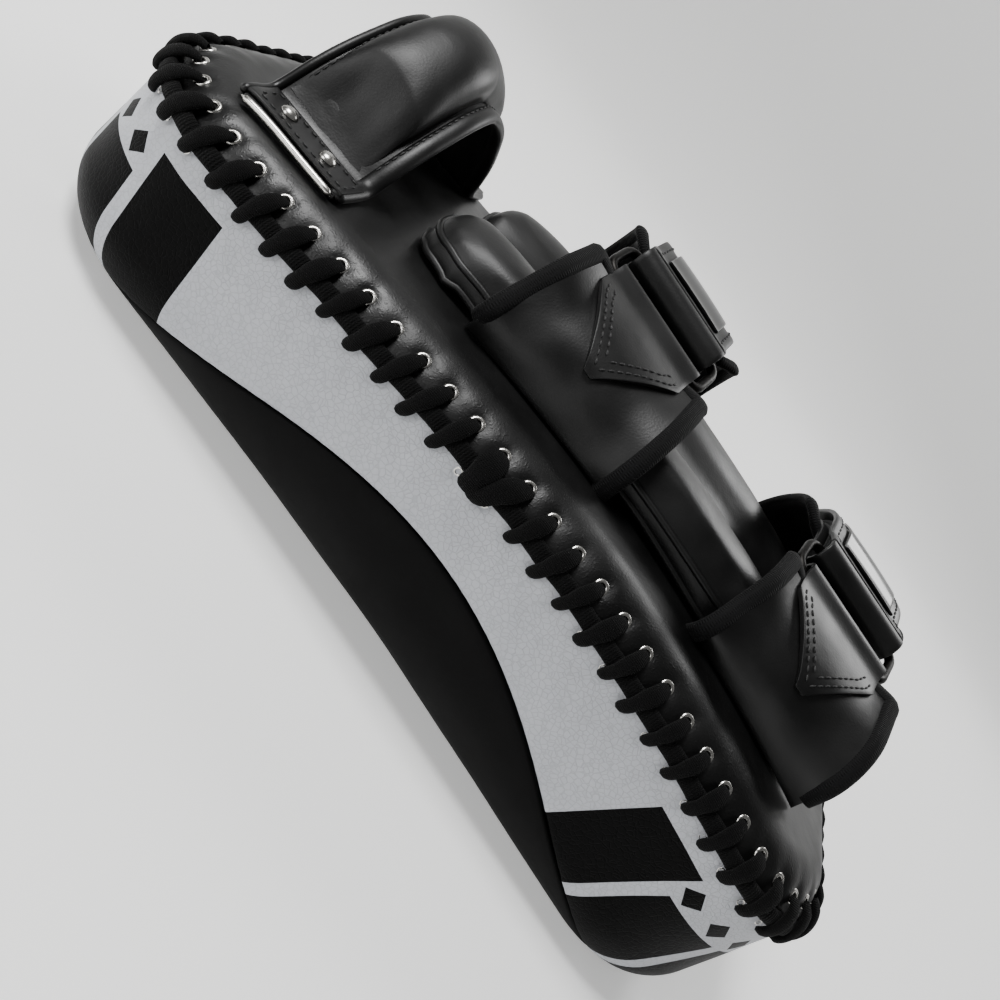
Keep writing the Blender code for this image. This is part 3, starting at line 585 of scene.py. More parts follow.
def outlinePoint(place, inset):
    # place counts stitches round the pad, from the middle of the grip end
    radius = pad["corner"] - inset if inset < 40 else 18 * (100 - inset) / 60
    run = pad["halfLength"] - inset - radius
    rise = pad["halfWidth"] - inset - radius
    longSide = 2 * (pad["halfLength"] - pad["corner"])
    shortSide = pad["halfWidth"] - pad["corner"]
    arc = math.pi / 2 * (pad["corner"] - pad["eyeletInset"])
    total = 2 * longSide + 4 * shortSide + 4 * arc
    travelled = (place % pad["stitches"]) / pad["stitches"] * total
    mirrored = travelled > total / 2
    if mirrored:
        travelled = total - travelled
    if travelled <= shortSide:
        x, y = -run - radius, -rise * travelled / shortSide
    elif travelled <= shortSide + arc:
        angle = (travelled - shortSide) / arc * math.pi / 2
        x, y = -run - radius * math.cos(angle), -rise - radius * math.sin(angle)
    elif travelled <= shortSide + arc + longSide:
        x, y = -run + 2 * run * (travelled - shortSide - arc) / longSide, -rise - radius
    elif travelled <= shortSide + 2 * arc + longSide:
        angle = (travelled - shortSide - arc - longSide) / arc * math.pi / 2
        x, y = run + radius * math.sin(angle), -rise - radius * math.cos(angle)
    else:
        x, y = run + radius, -rise * (total / 2 - travelled) / shortSide
    return x, -y if mirrored else y


def wallLengths(place):
    # the side wall's height and the face rounding's length at one place
    x, _ = outlinePoint(place, 0)
    turnRadius = faceRadius(x)
    return seamHeight(x) - pad["drop"] - turnRadius, turnRadius


def padAt(place, arc, depth):
    # a point on the pad's surface; arc is measured up from the top of the side wall, and the
    # depth inwards
    wall, turnRadius = wallLengths(place)
    shoulder = pad["shoulder"]
    if arc >= shoulderArc:
        x, y = outlinePoint(place, min(shoulder + arc - shoulderArc, 100.0))
        return Vector((x, y, backHeight(x, y) - depth))
    if arc >= 0:
        turn = arc / shoulder
        x, y = outlinePoint(place, shoulder - (shoulder - depth) * math.cos(turn))
        return Vector((x, y, seamHeight(x) - pad["drop"] + (shoulder - depth) * math.sin(turn)))
    if arc >= -wall:
        x, y = outlinePoint(place, depth)
        return Vector((x, y, turnRadius + (seamHeight(x) - pad["drop"] - turnRadius) * (1 + arc / wall)))
    turn = (-wall - arc) / turnRadius
    if turn <= math.pi / 2:
        x, y = outlinePoint(place, turnRadius - (turnRadius - depth) * math.cos(turn))
        return Vector((x, y, turnRadius - (turnRadius - depth) * math.sin(turn)))
    x, y = outlinePoint(place, min(turnRadius + (turn - math.pi / 2) * turnRadius, 100.0))
    return Vector((x, y, depth))


def arcAtHeight(place, height):
    wall, turnRadius = wallLengths(place)
    if height >= turnRadius:
        return height - turnRadius - wall
    return -wall - turnRadius * math.asin((turnRadius - height) / turnRadius)


def padFrame(place, arc):
    # the surface's own directions: along the lacing, up towards the back, and outwards
    middle = padAt(place, arc, 0)
    along = (padAt(place + 0.05, arc, 0) - padAt(place - 0.05, arc, 0)).normalized()
    up = (padAt(place, arc + 0.5, 0) - padAt(place, arc - 0.5, 0)).normalized()
    return middle, along, up, along.cross(up).normalized()


# ---- skins
skins = {"columns": 624, "edge": 1.5, "hem": 3.4, "wall": 1.6, "puckerDepth": 1.3, "puckerWidth": 3.0,
         "groove": 0.08, "bulge": 0.3, "lumps": 0.5, "gap": 0.25, "slit": 0.8, "backEnd": 78.0}
pulls = [random.Random(lacingSeed + i).uniform(0.7, 1.3) for i in range(pad["stitches"])]
# rows across a rolled edge: distance from the edge and depth
rolledEdge = [(0.0, skins["hem"])] + [(skins["edge"] * (1 - math.cos(a)), skins["edge"] * (1 - math.sin(a)))
                                       for a in (0, math.pi / 6, math.pi / 3, math.pi / 2)]


def pulledIn(place, arc, eyeletArc, shift):
    # how far the lacing draws the leather in: a dimple at each eyelet, folds that fan out
    # from it, and a swelling between two eyelets
    near = math.floor(place - shift + 0.5)
    pull = pulls[near % pad["stitches"]]
    across = (place - shift - near) * pad["pitch"]
    rise = arc - eyeletArc
    reach = math.hypot(across, rise)
    dimple = skins["puckerDepth"] * pull * math.exp(-(reach / skins["puckerWidth"]) ** 2)
    fan = math.cos(5 * math.atan2(rise, across + 0.01) + near * 1.7)
    folds = skins["groove"] * pull * fan * math.exp(-((reach - 5.5) / 3.6) ** 2)
    between = 0.5 - 0.5 * math.cos(2 * math.pi * (place - shift))
    swell = skins["bulge"] * between * math.exp(-(rise / 10) ** 2)
    return dimple + folds - swell


def skinSheet(name, low, high, middleRows, relief, rolled=(True, True)):
    # a skin between two arcs that depend on the place, with rolled edges
    plain = [(0.0, 0.0)]
    lowRows = [("low", d, depth) for d, depth in (rolledEdge if rolled[0] else plain)]
    highRows = [("high", d, depth) for d, depth in (rolledEdge[::-1] if rolled[1] else plain)]
    rows = lowRows + [("share", n / (middleRows + 1), 0.0) for n in range(1, middleRows + 1)] + highRows
    last = len(rows) - 1
    edge = skins["edge"]

    def arcOf(place, row):
        kind, distance, depth = row
        bottom, top = low(place), high(place)
        if kind == "low":
            return bottom + distance, depth
        if kind == "high":
            return top - distance, depth
        start = bottom + (edge if rolled[0] else 0)
        end = top - (edge if rolled[1] else 0)
        return start + (end - start) * distance, depth

    def place(u, v):
        at = u * pad["stitches"]
        arc, depth = arcOf(at, rows[round(v * last)])
        point = padAt(at, arc, depth)
        return padAt(at, arc, depth + relief(at, arc, point))

    def uvPlace(u, v):
        at = u * pad["stitches"]
        arc, _ = arcOf(at, rows[round(v * last)])
        return min(at, pad["stitches"] - at) * pad["pitch"], arc

    return shapeSheet(name, skins["columns"], last, place, uvPlace)


def makeSkins():
    def coverArc(lift):
        return lambda place: arcAtHeight(place, coverSeamHeight(outlinePoint(place, 0)[0]) + lift)

    def faceMiddle(place):
        wall, turnRadius = wallLengths(place)
        return -wall - turnRadius * math.pi / 2 - (100 - turnRadius)

    def coverRelief(place, arc, point):
        return -0.35 * wander(point.x, point.y, point.z, 45) if point.z > 3 else 0.0

    def sideRelief(place, arc, point):
        soft = clamped((arc - coverArc(0)(place)) / 8)
        stitched = 0.35 * math.cos(place * math.pi * 4) * math.exp(-((arc - coverArc(0)(place)) / 2.5) ** 2)
        low = -skins["lumps"] * soft * (wander(point.x, point.y, point.z, 40) + 0.35)
        return low + pulledIn(place, arc, pad["sideEyeletArc"], pad["sidePlace"]) * 0.8 + 0.2 * stitched

    def backRelief(place, arc, point):
        slow = skins["lumps"] * wander(point.x, point.y, point.z + 60, 48)
        fine = 0.16 * wander(point.x, point.y, point.z, 9) * math.exp(-((arc - 22) / 16) ** 2)
        return pulledIn(place, arc, pad["eyeletArc"], pad["backPlace"]) - slow - fine

    def finishSkin(skin, finish, stands):
        tidyShell(skin)
        applyModifier(skin, "SOLIDIFY", thickness=skins["wall"] * mm, offset=-1)
        keep(skin, finishes[finish], stands=stands)

    # the strike cover takes the matt leather, whose darker colour is painted shade
    cover = skinSheet("strikeCover", faceMiddle, coverArc(-skins["gap"]), 34, coverRelief, (False, True))
    finishSkin(cover, "matt", ["strike_cover"])
    side = skinSheet("sidePanel", coverArc(skins["gap"]), lambda place: pad["seamArc"] - skins["slit"], 30,
                     sideRelief)
    finishSkin(side, "grey", ["side_panel", "side_hem"])
    back = skinSheet("backPanel", lambda place: pad["seamArc"] + skins["slit"],
                     lambda place: shoulderArc + skins["backEnd"], 50, backRelief, (True, False))
    finishSkin(back, "gathered", ["back_panel", "back_eyelet_band"])


# the strike cover's copy of the black leather: rougher and less specular, which is its own matt finish, and
# darker in colour, which is painted shade on the face turned away from the lamps
mattShadedLeather = dict(blackLeather, colour="#020202", light="#040404", roughness=(0.6, 0.72), specular=0.1)
gatheredLeather = dict(blackLeather, wrinkle=1.3, wrinkleDepth=0.3, wrinkleEnd=38.0)
finishes["matt"] = leatherFinish("mattBlackPuLeatherPaintedShade", mattShadedLeather)
finishes["gathered"] = leatherFinish("gatheredBlackPuLeather", gatheredLeather)
makeSkins()
print("skins made")

# ---- lacing
lacing = {"runnerHalf": 3.1, "runnerThick": 1.5, "runnerLift": 2.1, "lift": 3.6, "tipArc": -0.9,
          "shift": -0.32, "half": 3.5, "thick": 1.8, "backMajor": 2.3, "backMinor": 0.95,
          "sideMajor": 1.35, "sideMinor": 0.45, "sink": 0.9, "knot": (18, 19)}
stitchWidths = ((0.0, 0.62), (0.12, 0.85), (0.42, 1.0), (0.64, 0.78), (0.8, 0.78), (0.93, 0.55), (1.0, 0.0))


def makeEyelets(name, arc, shift, major, minor):
    deselectAll()
    bpy.ops.mesh.primitive_torus_add(major_segments=16, minor_segments=6, major_radius=major * mm,
                                     minor_radius=minor * mm)
    model = bpy.context.object
    rings = []
    for i in range(pad["stitches"]):
        middle, along, up, out = padFrame(i + shift, arc)
        turn = Matrix((along, up, out)).transposed().to_4x4()
        rings.append(copyOf(model, Matrix.Translation((middle - out * lacing["sink"]) * mm) @ turn))
    bpy.data.objects.remove(model)
    band = joinAll(rings, name)
    tidyShell(band, 80, False)
    return keep(band, finishes["nickel"])


def makeRunner():
    plan = lacing
    dice = random.Random(lacingSeed)
    sway = [dice.uniform(-0.35, 0.35) for _ in range(pad["stitches"])]

    def place(u, v):
        at = v * pad["stitches"]
        angle = 2 * math.pi * u
        i = int(at) % pad["stitches"]
        t = at - int(at)
        off = sway[i] * (1 - t) + sway[(i + 1) % pad["stitches"]] * t
        press = 0.5 + 0.5 * math.cos(2 * math.pi * (at - 0.35))
        thick = plan["runnerThick"] * (1.25 - 0.4 * press)
        half = plan["runnerHalf"] * (1 + 0.1 * press)
        arc = pad["seamArc"] + off + half * math.copysign(abs(math.cos(angle)) ** 0.8, math.cos(angle))
        return padAt(at, arc, -plan["runnerLift"] + 0.7 * press - thick * math.sin(angle))

    total = pad["stitches"] * pad["pitch"]
    runner = tidyShell(shapeSheet("laceRunner", 14, pad["stitches"] * 8, place,
                                  lambda u, v: (u * 20, v * total)), 60)
    return keep(runner, finishes["lace"], stands=["lace"])


def stitchPoint(i, u, v, dice, extra=0.0):
    # one cross stitch: out of the back eyelet, over the runner, down to its pointed tip
    plan = lacing
    start = pad["eyeletArc"] + 0.3
    arc = start + (plan["tipArc"] - start + dice["tip"]) * v
    at = i + pad["backPlace"] + (plan["shift"] + dice["lean"]) * v
    hump = math.sin(math.pi * (v * 0.94 + 0.02)) ** 0.7
    lift = (plan["lift"] + dice["puff"] + extra) * hump - 1.2 * max(0, 1 - v / 0.2) + 0.3
    # fills the eyelet, full over the runner, pinched below it, with a pointed tip
    swell = smoothValue(stitchWidths, v)
    half = plan["half"] * swell * (1 + dice["wide"])
    thick = plan["thick"] * min(1.0, 0.35 + swell)
    if v >= 1:
        half = thick = 0.0
    angle = 2 * math.pi * u
    return padAt(at + half * math.cos(angle) / pad["pitch"], arc, -lift - thick * math.sin(angle))


def makeStitches():
    model = shapeSheet("laceStitch", 12, 16, lambda u, v: Vector((u, v, 0)), lambda u, v: (u * 20, v * 34))
    shares = [(v.co.x / mm, v.co.y / mm) for v in model.data.vertices]
    dice = random.Random(lacingSeed + 1)
    pieces = []
    for i in range(pad["stitches"]):
        twin = copyOf(model, Matrix())
        own = {"tip": dice.uniform(-1.0, 0.8), "lean": dice.uniform(-0.05, 0.05),
               "puff": dice.uniform(-0.4, 0.5), "wide": dice.uniform(-0.08, 0.1)}
        extra = 0.0
        if i in lacing["knot"]:   # the lace's ends are tied in one fat knot
            own["lean"] += 0.42 if i == min(lacing["knot"]) else -0.38
            own["wide"], extra = 0.45, 0.9
        for vertex, (u, v) in zip(twin.data.vertices, shares):
            vertex.co = stitchPoint(i, u, v, own, extra) * mm
        pieces.append(twin)
    bpy.data.objects.remove(model)
    lace = tidyShell(joinAll(pieces, "laceStitches"), 70)
    return keep(lace, finishes["lace"])


for edge, arc in (("back", pad["eyeletArc"]), ("side", pad["sideEyeletArc"])):
    makeEyelets(edge + "Eyelets", arc, pad[edge + "Place"], lacing[edge + "Major"], lacing[edge + "Minor"])
makeRunner()
makeStitches()
print("lacing made")


# ---- sewing thread, seated on the piece that it is sewn into
thread = {"length": 2.9, "pitch": 4.1, "half": 0.48, "sink": 0.1}


def sewRow(piece, path, name, body="root", pitch=thread["pitch"]):
    deselectAll()
    bpy.ops.mesh.primitive_uv_sphere_add(segments=6, ring_count=5, radius=1.0)
    model = bpy.context.object
    size = (thread["length"] / 2, thread["half"], thread["half"] * 0.8, 1 / mm)
    model.data.transform(Matrix.Diagonal(size) * mm)
    bpy.context.view_layer.update()
    count = max(int(pathLength(path) / pitch) + 1, 2)
    spots = smoothPath(path, count)
    stitches = []
    for i in range(count - 1):
        middle = (spots[i] + spots[i + 1]) / 2
        _, spot, out, _ = piece.closest_point_on_mesh(middle * mm)
        along = (spots[i + 1] - spots[i]).normalized()
        along = (along - out * along.dot(out)).normalized()
        turn = Matrix((along, out.cross(along), out)).transposed().to_4x4()
        stitches.append(copyOf(model, Matrix.Translation(spot + out * thread["sink"] * mm) @ turn))
    bpy.data.objects.remove(model)
    row = joinAll(stitches, name)
    choose(row)
    bpy.ops.object.shade_smooth()
    return keep(row, finishes["thread"], body)


# ---- hand grip
gripPlan = {"foot": (-162.0, -117.0), "crest": (-165.0, -123.0), "lift": 0.5, "band": 2.4, "gap": 0.35,
            "plate": 1.6, "plateY": (63.0, 80.0), "rollEnd": 60.0, "pipe": 1.35, "border": 5.5}
gripArch = ((81, 0.0), (63, 0.4), (58, 4.0), (53, 11.0), (45, 19.5), (32, 29.5), (18, 38.0), (0, 42.0))
gripDome = ((60, 0.2), (57.5, 2.6), (54.5, 7.0), (50, 11.6), (43, 14.0), (32, 14.8), (18, 15.0), (0, 15.0))
rivetPlaces = ((-151, -70), (-131, -70), (-151, 70), (-131, 70))
ventPlace = (-133.0, 0.0)
# turned outlines: radius and height above the leather
rivetProfile = ((0, 2.3), (1.3, 2.15), (2.4, 1.7), (3.2, 1.0), (3.6, 0.3), (3.6, 0.05), (3.3, -0.1),
                (0, -0.1))
ventProfile = ((2.2, -1.9), (2.2, 0.7), (2.5, 1.35), (3.1, 1.6), (3.8, 1.25), (4.2, 0.55), (4.2, 0.3),
               (3.0, 0.3), (3.0, -1.9), (2.2, -1.9))


def mirrored(table):
    return [(-y, z) for y, z in table if y] + list(table)


def gripEdges(y):
    share = min(abs(y) / 60, 1)
    return [crest + (foot - crest) * share for foot, crest in zip(gripPlan["foot"], gripPlan["crest"])]


def gripSpot(x, y, lift):
    rise = smoothValue(mirrored(gripArch), y)
    ease = 1 - min(max(rise, 0) / 4, 1)
    level = backHeight(-140, y)
    return Vector((x, y, level + (backHeight(x, y) - level) * ease + rise + gripPlan["lift"] + lift))


def makeGrip():
    plan = gripPlan
    leather = finishes["leather"]

    def slab(name, low, high, spread, lift, thickness, stands):
        def place(u, v):
            y = low + (high - low) * v
            start, end = gripEdges(y)
            return gripSpot(start + spread + (end - start - 2 * spread) * u, y, lift + thickness / 2)

        piece = shapeSheet(name, 14, max(round((high - low) / 2), 10), place, lambda u, v: (u * 45, v * 160))
        tidyShell(piece)
        applyModifier(piece, "SOLIDIFY", thickness=thickness * mm, offset=0)
        applyModifier(piece, "BEVEL", width=0.45 * mm, segments=2, limit_method="ANGLE")
        tidyShell(piece, 40)
        return keep(piece, leather, stands=stands)

    slab("gripBand", -81, 81, 0, 0, plan["band"], ["grip_band"])
    dome = mirrored(gripDome)

    def roll(u, v):
        y = -plan["rollEnd"] + 2 * plan["rollEnd"] * v
        start, end = gripEdges(y)
        end -= plan["border"]
        middle, half = (start + end) / 2, (end - start) / 2
        height = max(smoothValue(dome, y), 0.0)
        angle = 2 * math.pi * u
        base = gripSpot(middle, y, plan["band"] + plan["gap"])
        lean = 0.35 * clamped((abs(y) - 45) / 8)
        rise = height * math.sin(angle) ** 0.78 if 0 < angle < math.pi else 0.0
        foot = math.exp(-((abs(y) - 51) / 7) ** 2)
        scoop = math.exp(-((abs(y) - 54) / 5) ** 2) * max(math.sin(angle), 0) ** 3 * 3.4
        crease = scoop + foot * (0.7 * math.sin(4.2 * angle + y / 4) + 0.4 * math.sin(9 * angle - y / 6))
        long = 0.45 * math.exp(-(math.degrees(angle) - 25) ** 2 / 150) * math.sin(y / 5.5)
        soft = 0.8 * wander(middle + half * math.cos(angle), y, rise * 2, 26)
        swell = min(rise / 4, 1) * (soft - 0.7 * crease - long)
        return Vector((middle + (half - 0.8 + min(swell, 0.8)) * math.cos(angle),
                       y - math.copysign(lean * rise, y),
                       base.z + rise + swell * math.sin(angle) if rise else base.z))

    grip = tidyShell(shapeSheet("gripRoll", 40, 90, roll, lambda u, v: (u * 100, v * 170)), 50)
    keep(grip, leather, stands=["grip_cover", "grip_foam"])

    ys = [-81 + 162 * n / 80 for n in range(81)]
    # the front edge is a broad turned border, the rear one a round welt
    for name, column, push, half, inset, node in (("gripWeltFront", 1, 1, 3.8, 0.9, "grip_welt_front"),
                                                  ("gripWeltRear", 0, -1, 1.9, -2.1, "grip_welt_rear")):
        path = [gripSpot(gripEdges(y)[column] - push * inset, y, plan["band"] / 2 + 0.9) for y in ys]
        outs = []
        for n in range(len(path)):
            along = path[min(n + 1, 80)] - path[max(n - 1, 0)]
            outs.append(Vector((0, -along.z, along.y)).normalized())
        welt = sweepTube(name, path, 14, lambda s, h=half: (h, 2.3 if h > 2 else h) if 0 < s < 1 else (0, 0),
                         lambda n, o=outs: o[n])
        keep(welt, leather, stands=[node])
        lift = 3.6 if column else 5.0
        seam = [gripSpot(gripEdges(y)[column] - push * (plan["border"] - 1.5 if column else 1.2), y,
                         plan["band"] + lift) for y in ys if abs(y) < 57]
        sewRow(welt if column else grip, seam, name.replace("Welt", "Seam"), pitch=3.6)
    for name, side in (("near", -1), ("far", 1)):
        low, high = sorted((side * plan["plateY"][0], side * plan["plateY"][1]))
        plate = slab(name + "FlangePlate", low, high, -1.0, plan["band"] + plan["gap"], plan["plate"],
                     [name + "_flange_plate"])
        inset = 2.6
        start, end = gripEdges(80)
        outline = [(start - 1 + inset, high - inset), (start - 1 + inset, low + inset),
                   (end + 1 - inset, low + inset), (end + 1 - inset, high - inset), (start + 1, high - inset)]
        for number, (a, b) in enumerate(zip(outline, outline[1:])):
            sewRow(plate, [gripSpot(*a, 6), gripSpot(*b, 6)], "%sFlangeSeam%d" % (name, number))
        path = [Vector((start + (end - start) * n / 20, side * 83.0, 0)) for n in range(21)]
        path = [Vector((p.x, p.y, backHeight(p.x, p.y) + 2.8)) for p in path]
        pipe = sweepTube(name + "FlangePiping", path, 12,
                         lambda s: (plan["pipe"], plan["pipe"]) if 0 < s < 1 else (0, 0), Vector((0, 1, 0)))
        keep(pipe, finishes["nickel"], stands=[name + "_flange_piping"])
    rivet = turnedPiece("gripRivet", rivetProfile)
    for number, (x, y) in enumerate(rivetPlaces, 1):
        out = backNormal(x, y)
        top = gripSpot(x, y, 0).z + plan["band"] + plan["gap"] + plan["plate"] + 0.1
        turn = out.to_track_quat("Z", "Y").to_matrix().to_4x4()
        head = copyOf(rivet, Matrix.Translation(Vector((x, y, top)) * mm) @ turn)
        head.name = head.data.name = "gripRivet%d" % number
        keep(head, finishes["nickel"], stands=["grip_rivet_%d" % number])
    bpy.data.objects.remove(rivet)
    x, y = ventPlace
    turn = backNormal(x, y).to_track_quat("Z", "Y").to_matrix().to_4x4()
    vent = turnedPiece("ventEyelet", ventProfile)
    vent.data.transform(Matrix.Translation(Vector((x, y, backHeight(x, y))) * mm) @ turn)
    keep(vent, finishes["nickel"], stands=["vent_eyelet"])


makeGrip()
print("grip made")

# ---- forearm cushion: a boxed pad with a channel for the arm, swollen by a cloth simulation
cushionPlan = {"x": (-100.0, 160.0), "half": 60.0, "corner": 25.0, "lift": 0.5, "voxel": 4.5, "pressure": 4.0,
               "frames": 20, "cap": 3.2, "start": 1.0}
cushionSection = ((1.0, 0.0), (1.0, 4.5), (1.0, 9.0), (0.95, 14.5), (0.82, 18.5), (0.6, 20.0), (0.38, 17.0),
                  (0.18, 10.5), (0.0, 8.5))


def cushionShare(distance):
    return smoothValue(((0.0, 0.0), (0.4, 0.4), (3.0, 0.78), (9.0, 0.94), (25.0, 1.0)), distance)


def makeCushion(plan):
    start, end = plan["x"]
    tops = sorted([(-f, h) for f, h in cushionSection[2:]] + [(f, h) for f, h in cushionSection[2:-1]])

    def place(u, v):
        x = start + (end - start) * v
        inward = min(x - start, end - x, plan["corner"])
        curve = plan["corner"] - inward
        bow = math.sqrt(max(plan["corner"] ** 2 - curve ** 2, 0))
        half = plan["half"] - plan["corner"] + bow - plan["start"]
        share = cushionShare(inward)
        turn = 4 * u   # 0-0.3 far side, 0.3-2.3 over the top, 2.3-2.6 near side, the rest underneath
        if turn < 0.3:
            f, height = 1.0, 9.0 * turn / 0.3
        elif turn < 2.3:
            f = 1.0 - (turn - 0.3)
            height = smoothValue(tops, f)
        elif turn < 2.6:
            f, height = -1.0, 9.0 * (2.6 - turn) / 0.3
        else:
            f, height = -1.0 + 2 * (turn - 2.6) / 1.4, 0.0
        y = f * half
        return Vector((x, y, backHeight(x, y) + plan["lift"] + height * share))

    cushion = tidyShell(shapeSheet("forearmCushion", 80, 104, place, lambda u, v: (u * 260, v * 260)), 60)
    applyModifier(cushion, "REMESH", mode="VOXEL", voxel_size=plan["voxel"] * mm)
    tidyShell(cushion, 180)
    swell(cushion, plan)
    for vertex in cushion.data.vertices:
        x, y, z = vertex.co / mm
        floor = backHeight(x, y) + plan["lift"]
        height = z - floor
        if height > 2:   # soft lumps, and slack folds where the straps hold the pad down
            slack = 0.5 * math.sin(x / 6.5 + 2 * math.sin(y / 17)) * math.exp(-((abs(y) - 52) / 9) ** 2)
            z += 0.9 * wander(x, y, z, 33) + 0.6 * slack
        vertex.co.z = max(z, floor) * mm
    applyModifier(cushion, "SUBSURF", levels=1, render_levels=1)
    choose(cushion)
    bpy.ops.object.shade_smooth()
    keep(cushion, finishes["leather"], stands=["cushion_cover", "cushion_foam"])
    # welted seams round the top and the foot of the box
    for name, height in (("cushionSeamUpper", 11.5), ("cushionSeamLower", 1.6)):
        path = []
        for n in range(160):
            angle = 2 * math.pi * n / 160
            x, y = [math.copysign(abs(wave) ** 0.28, wave) for wave in (math.cos(angle), math.sin(angle))]
            x = (start + end) / 2 + (end - start) / 2 * x
            y = plan["half"] * y
            x = min(max(x, start + 1), end - 1)
            path.append(Vector((x, y, backHeight(x, y) + plan["lift"] + height)))
        bpy.context.view_layer.update()
        seated = [Vector(cushion.closest_point_on_mesh(p * mm)[1]) / mm for p in path]
        welt = sweepTube(name, smoothPath(seated, 240, True), 8, lambda s: (1.5, 1.5), Vector((0, 0, 1)),
                         True)
        keep(welt, finishes["leather"])


def swell(piece, plan):
    rest = [v.co.copy() for v in piece.data.vertices]
    choose(piece)
    modifier = piece.modifiers.new("cloth", "CLOTH")
    settings = modifier.settings
    settings.use_pressure = True
    settings.uniform_pressure_force = plan["pressure"]
    settings.effector_weights.gravity = 0
    settings.quality = 4
    modifier.point_cache.frame_start = 1
    modifier.point_cache.frame_end = plan["frames"]
    for step in range(1, plan["frames"] + 1):
        bpy.context.scene.frame_set(step)
    bpy.ops.object.modifier_apply(modifier=modifier.name)
    for vertex, before in zip(piece.data.vertices, rest):
        move = vertex.co - before
        if move.length > plan["cap"] * mm:
            vertex.co = before + move * (plan["cap"] * mm / move.length)
    bpy.context.scene.frame_set(1)


makeCushion(cushionPlan)
print("cushion made")

# ---- straps: paths in the YZ plane, as in the CAD
strapPlan = {"centres": {"upper": -20.0, "lower": 115.0}, "drops": {"upper": 0.0, "lower": 4.0}, "wing": 3.0,
             "wingBase": 38.0, "wingTop": 34.0, "wingY": 63.5, "half": 25.0, "thick": 2.0, "tape": 4.0,
             "keeperOffset": 2.85, "keeperRadius": 4.5, "point": 34.0, "wire": 2.0, "ringHalf": 29.0,
             "ringCorner": 5.0, "foldRadius": 6.5, "fixedOffset": 3.9, "flapGap": 6.6, "patch": 1.5,
             "patchHalf": 21.0, "badge": 1.4, "badgeHalf": 17.0, "gap": 0.35, "flare": 7.0, "curl": 4.0,
             "dropStart": 116.0}
nearWing = ((-63.5, 110), (-62, 117.5), (-57.5, 125), (-50, 131), (-39.5, 135.8), (-27.5, 139))
farWing = ((63.5, 110), (62, 119), (57, 129), (49, 137.5), (38, 144.4), (27, 146.2))
keeperBar = (-19.7, 142.0)
hingeLine = (-2.0, 149.5)


def dropped(z, drop):
    # the lower strap stands lower: nothing at its foot, the whole drop at the hinge
    return z - drop * clamped((z - strapPlan["dropStart"]) / (hingeLine[1] - strapPlan["dropStart"]))


def offsetPath(path, distance):
    # moves a YZ path to its left
    moved = []
    for i, point in enumerate(path):
        a, b = path[max(i - 1, 0)], path[min(i + 1, len(path) - 1)]
        along = Vector((b[0] - a[0], b[1] - a[1])).normalized()
        moved.append((point[0] - along.y * distance, point[1] + along.x * distance))
    return moved


def arcPoints(centre, radius, start, end, steps):
    angles = [math.radians(start + (end - start) * n / steps) for n in range(steps + 1)]
    return [(centre[0] + radius * math.cos(a), centre[1] + radius * math.sin(a)) for a in angles]


def bandSheet(name, path, halfAt, centreX, thickness, across=24, step=2.0, relief=None, base=False, edge=0.5):
    # a strap of even thickness along a YZ path; halfAt gives its half width at a distance in mm
    points = [Vector((0, y, z)) for y, z in path]
    length = pathLength(points)
    rows = max(round(length / step), 6)
    points = smoothPath(points, rows + 1)

    def place(u, v):
        row = round(v * rows)
        point = points[row]
        along = (points[min(row + 1, rows)] - points[max(row - 1, 0)]).normalized()
        out = Vector((0, -along.z, along.y))
        x = (2 * u - 1) * halfAt(v * length)
        moved = point + (out * relief(x, v * length) if relief else Vector())
        if base:
            change = backHeight(centreX + x, point.y) - backHeight(centreX, point.y)
            moved.z += change * max(1 - v * 3, 0) ** 2
        return Vector((centreX + x, moved.y, moved.z))

    piece = shapeSheet(name, across, rows, place, lambda u, v: (u * 50, v * length))
    tidyShell(piece)
    applyModifier(piece, "SOLIDIFY", thickness=thickness * mm, offset=0)
    applyModifier(piece, "BEVEL", width=edge * mm, segments=2, limit_method="ANGLE")
    return tidyShell(piece, 45)


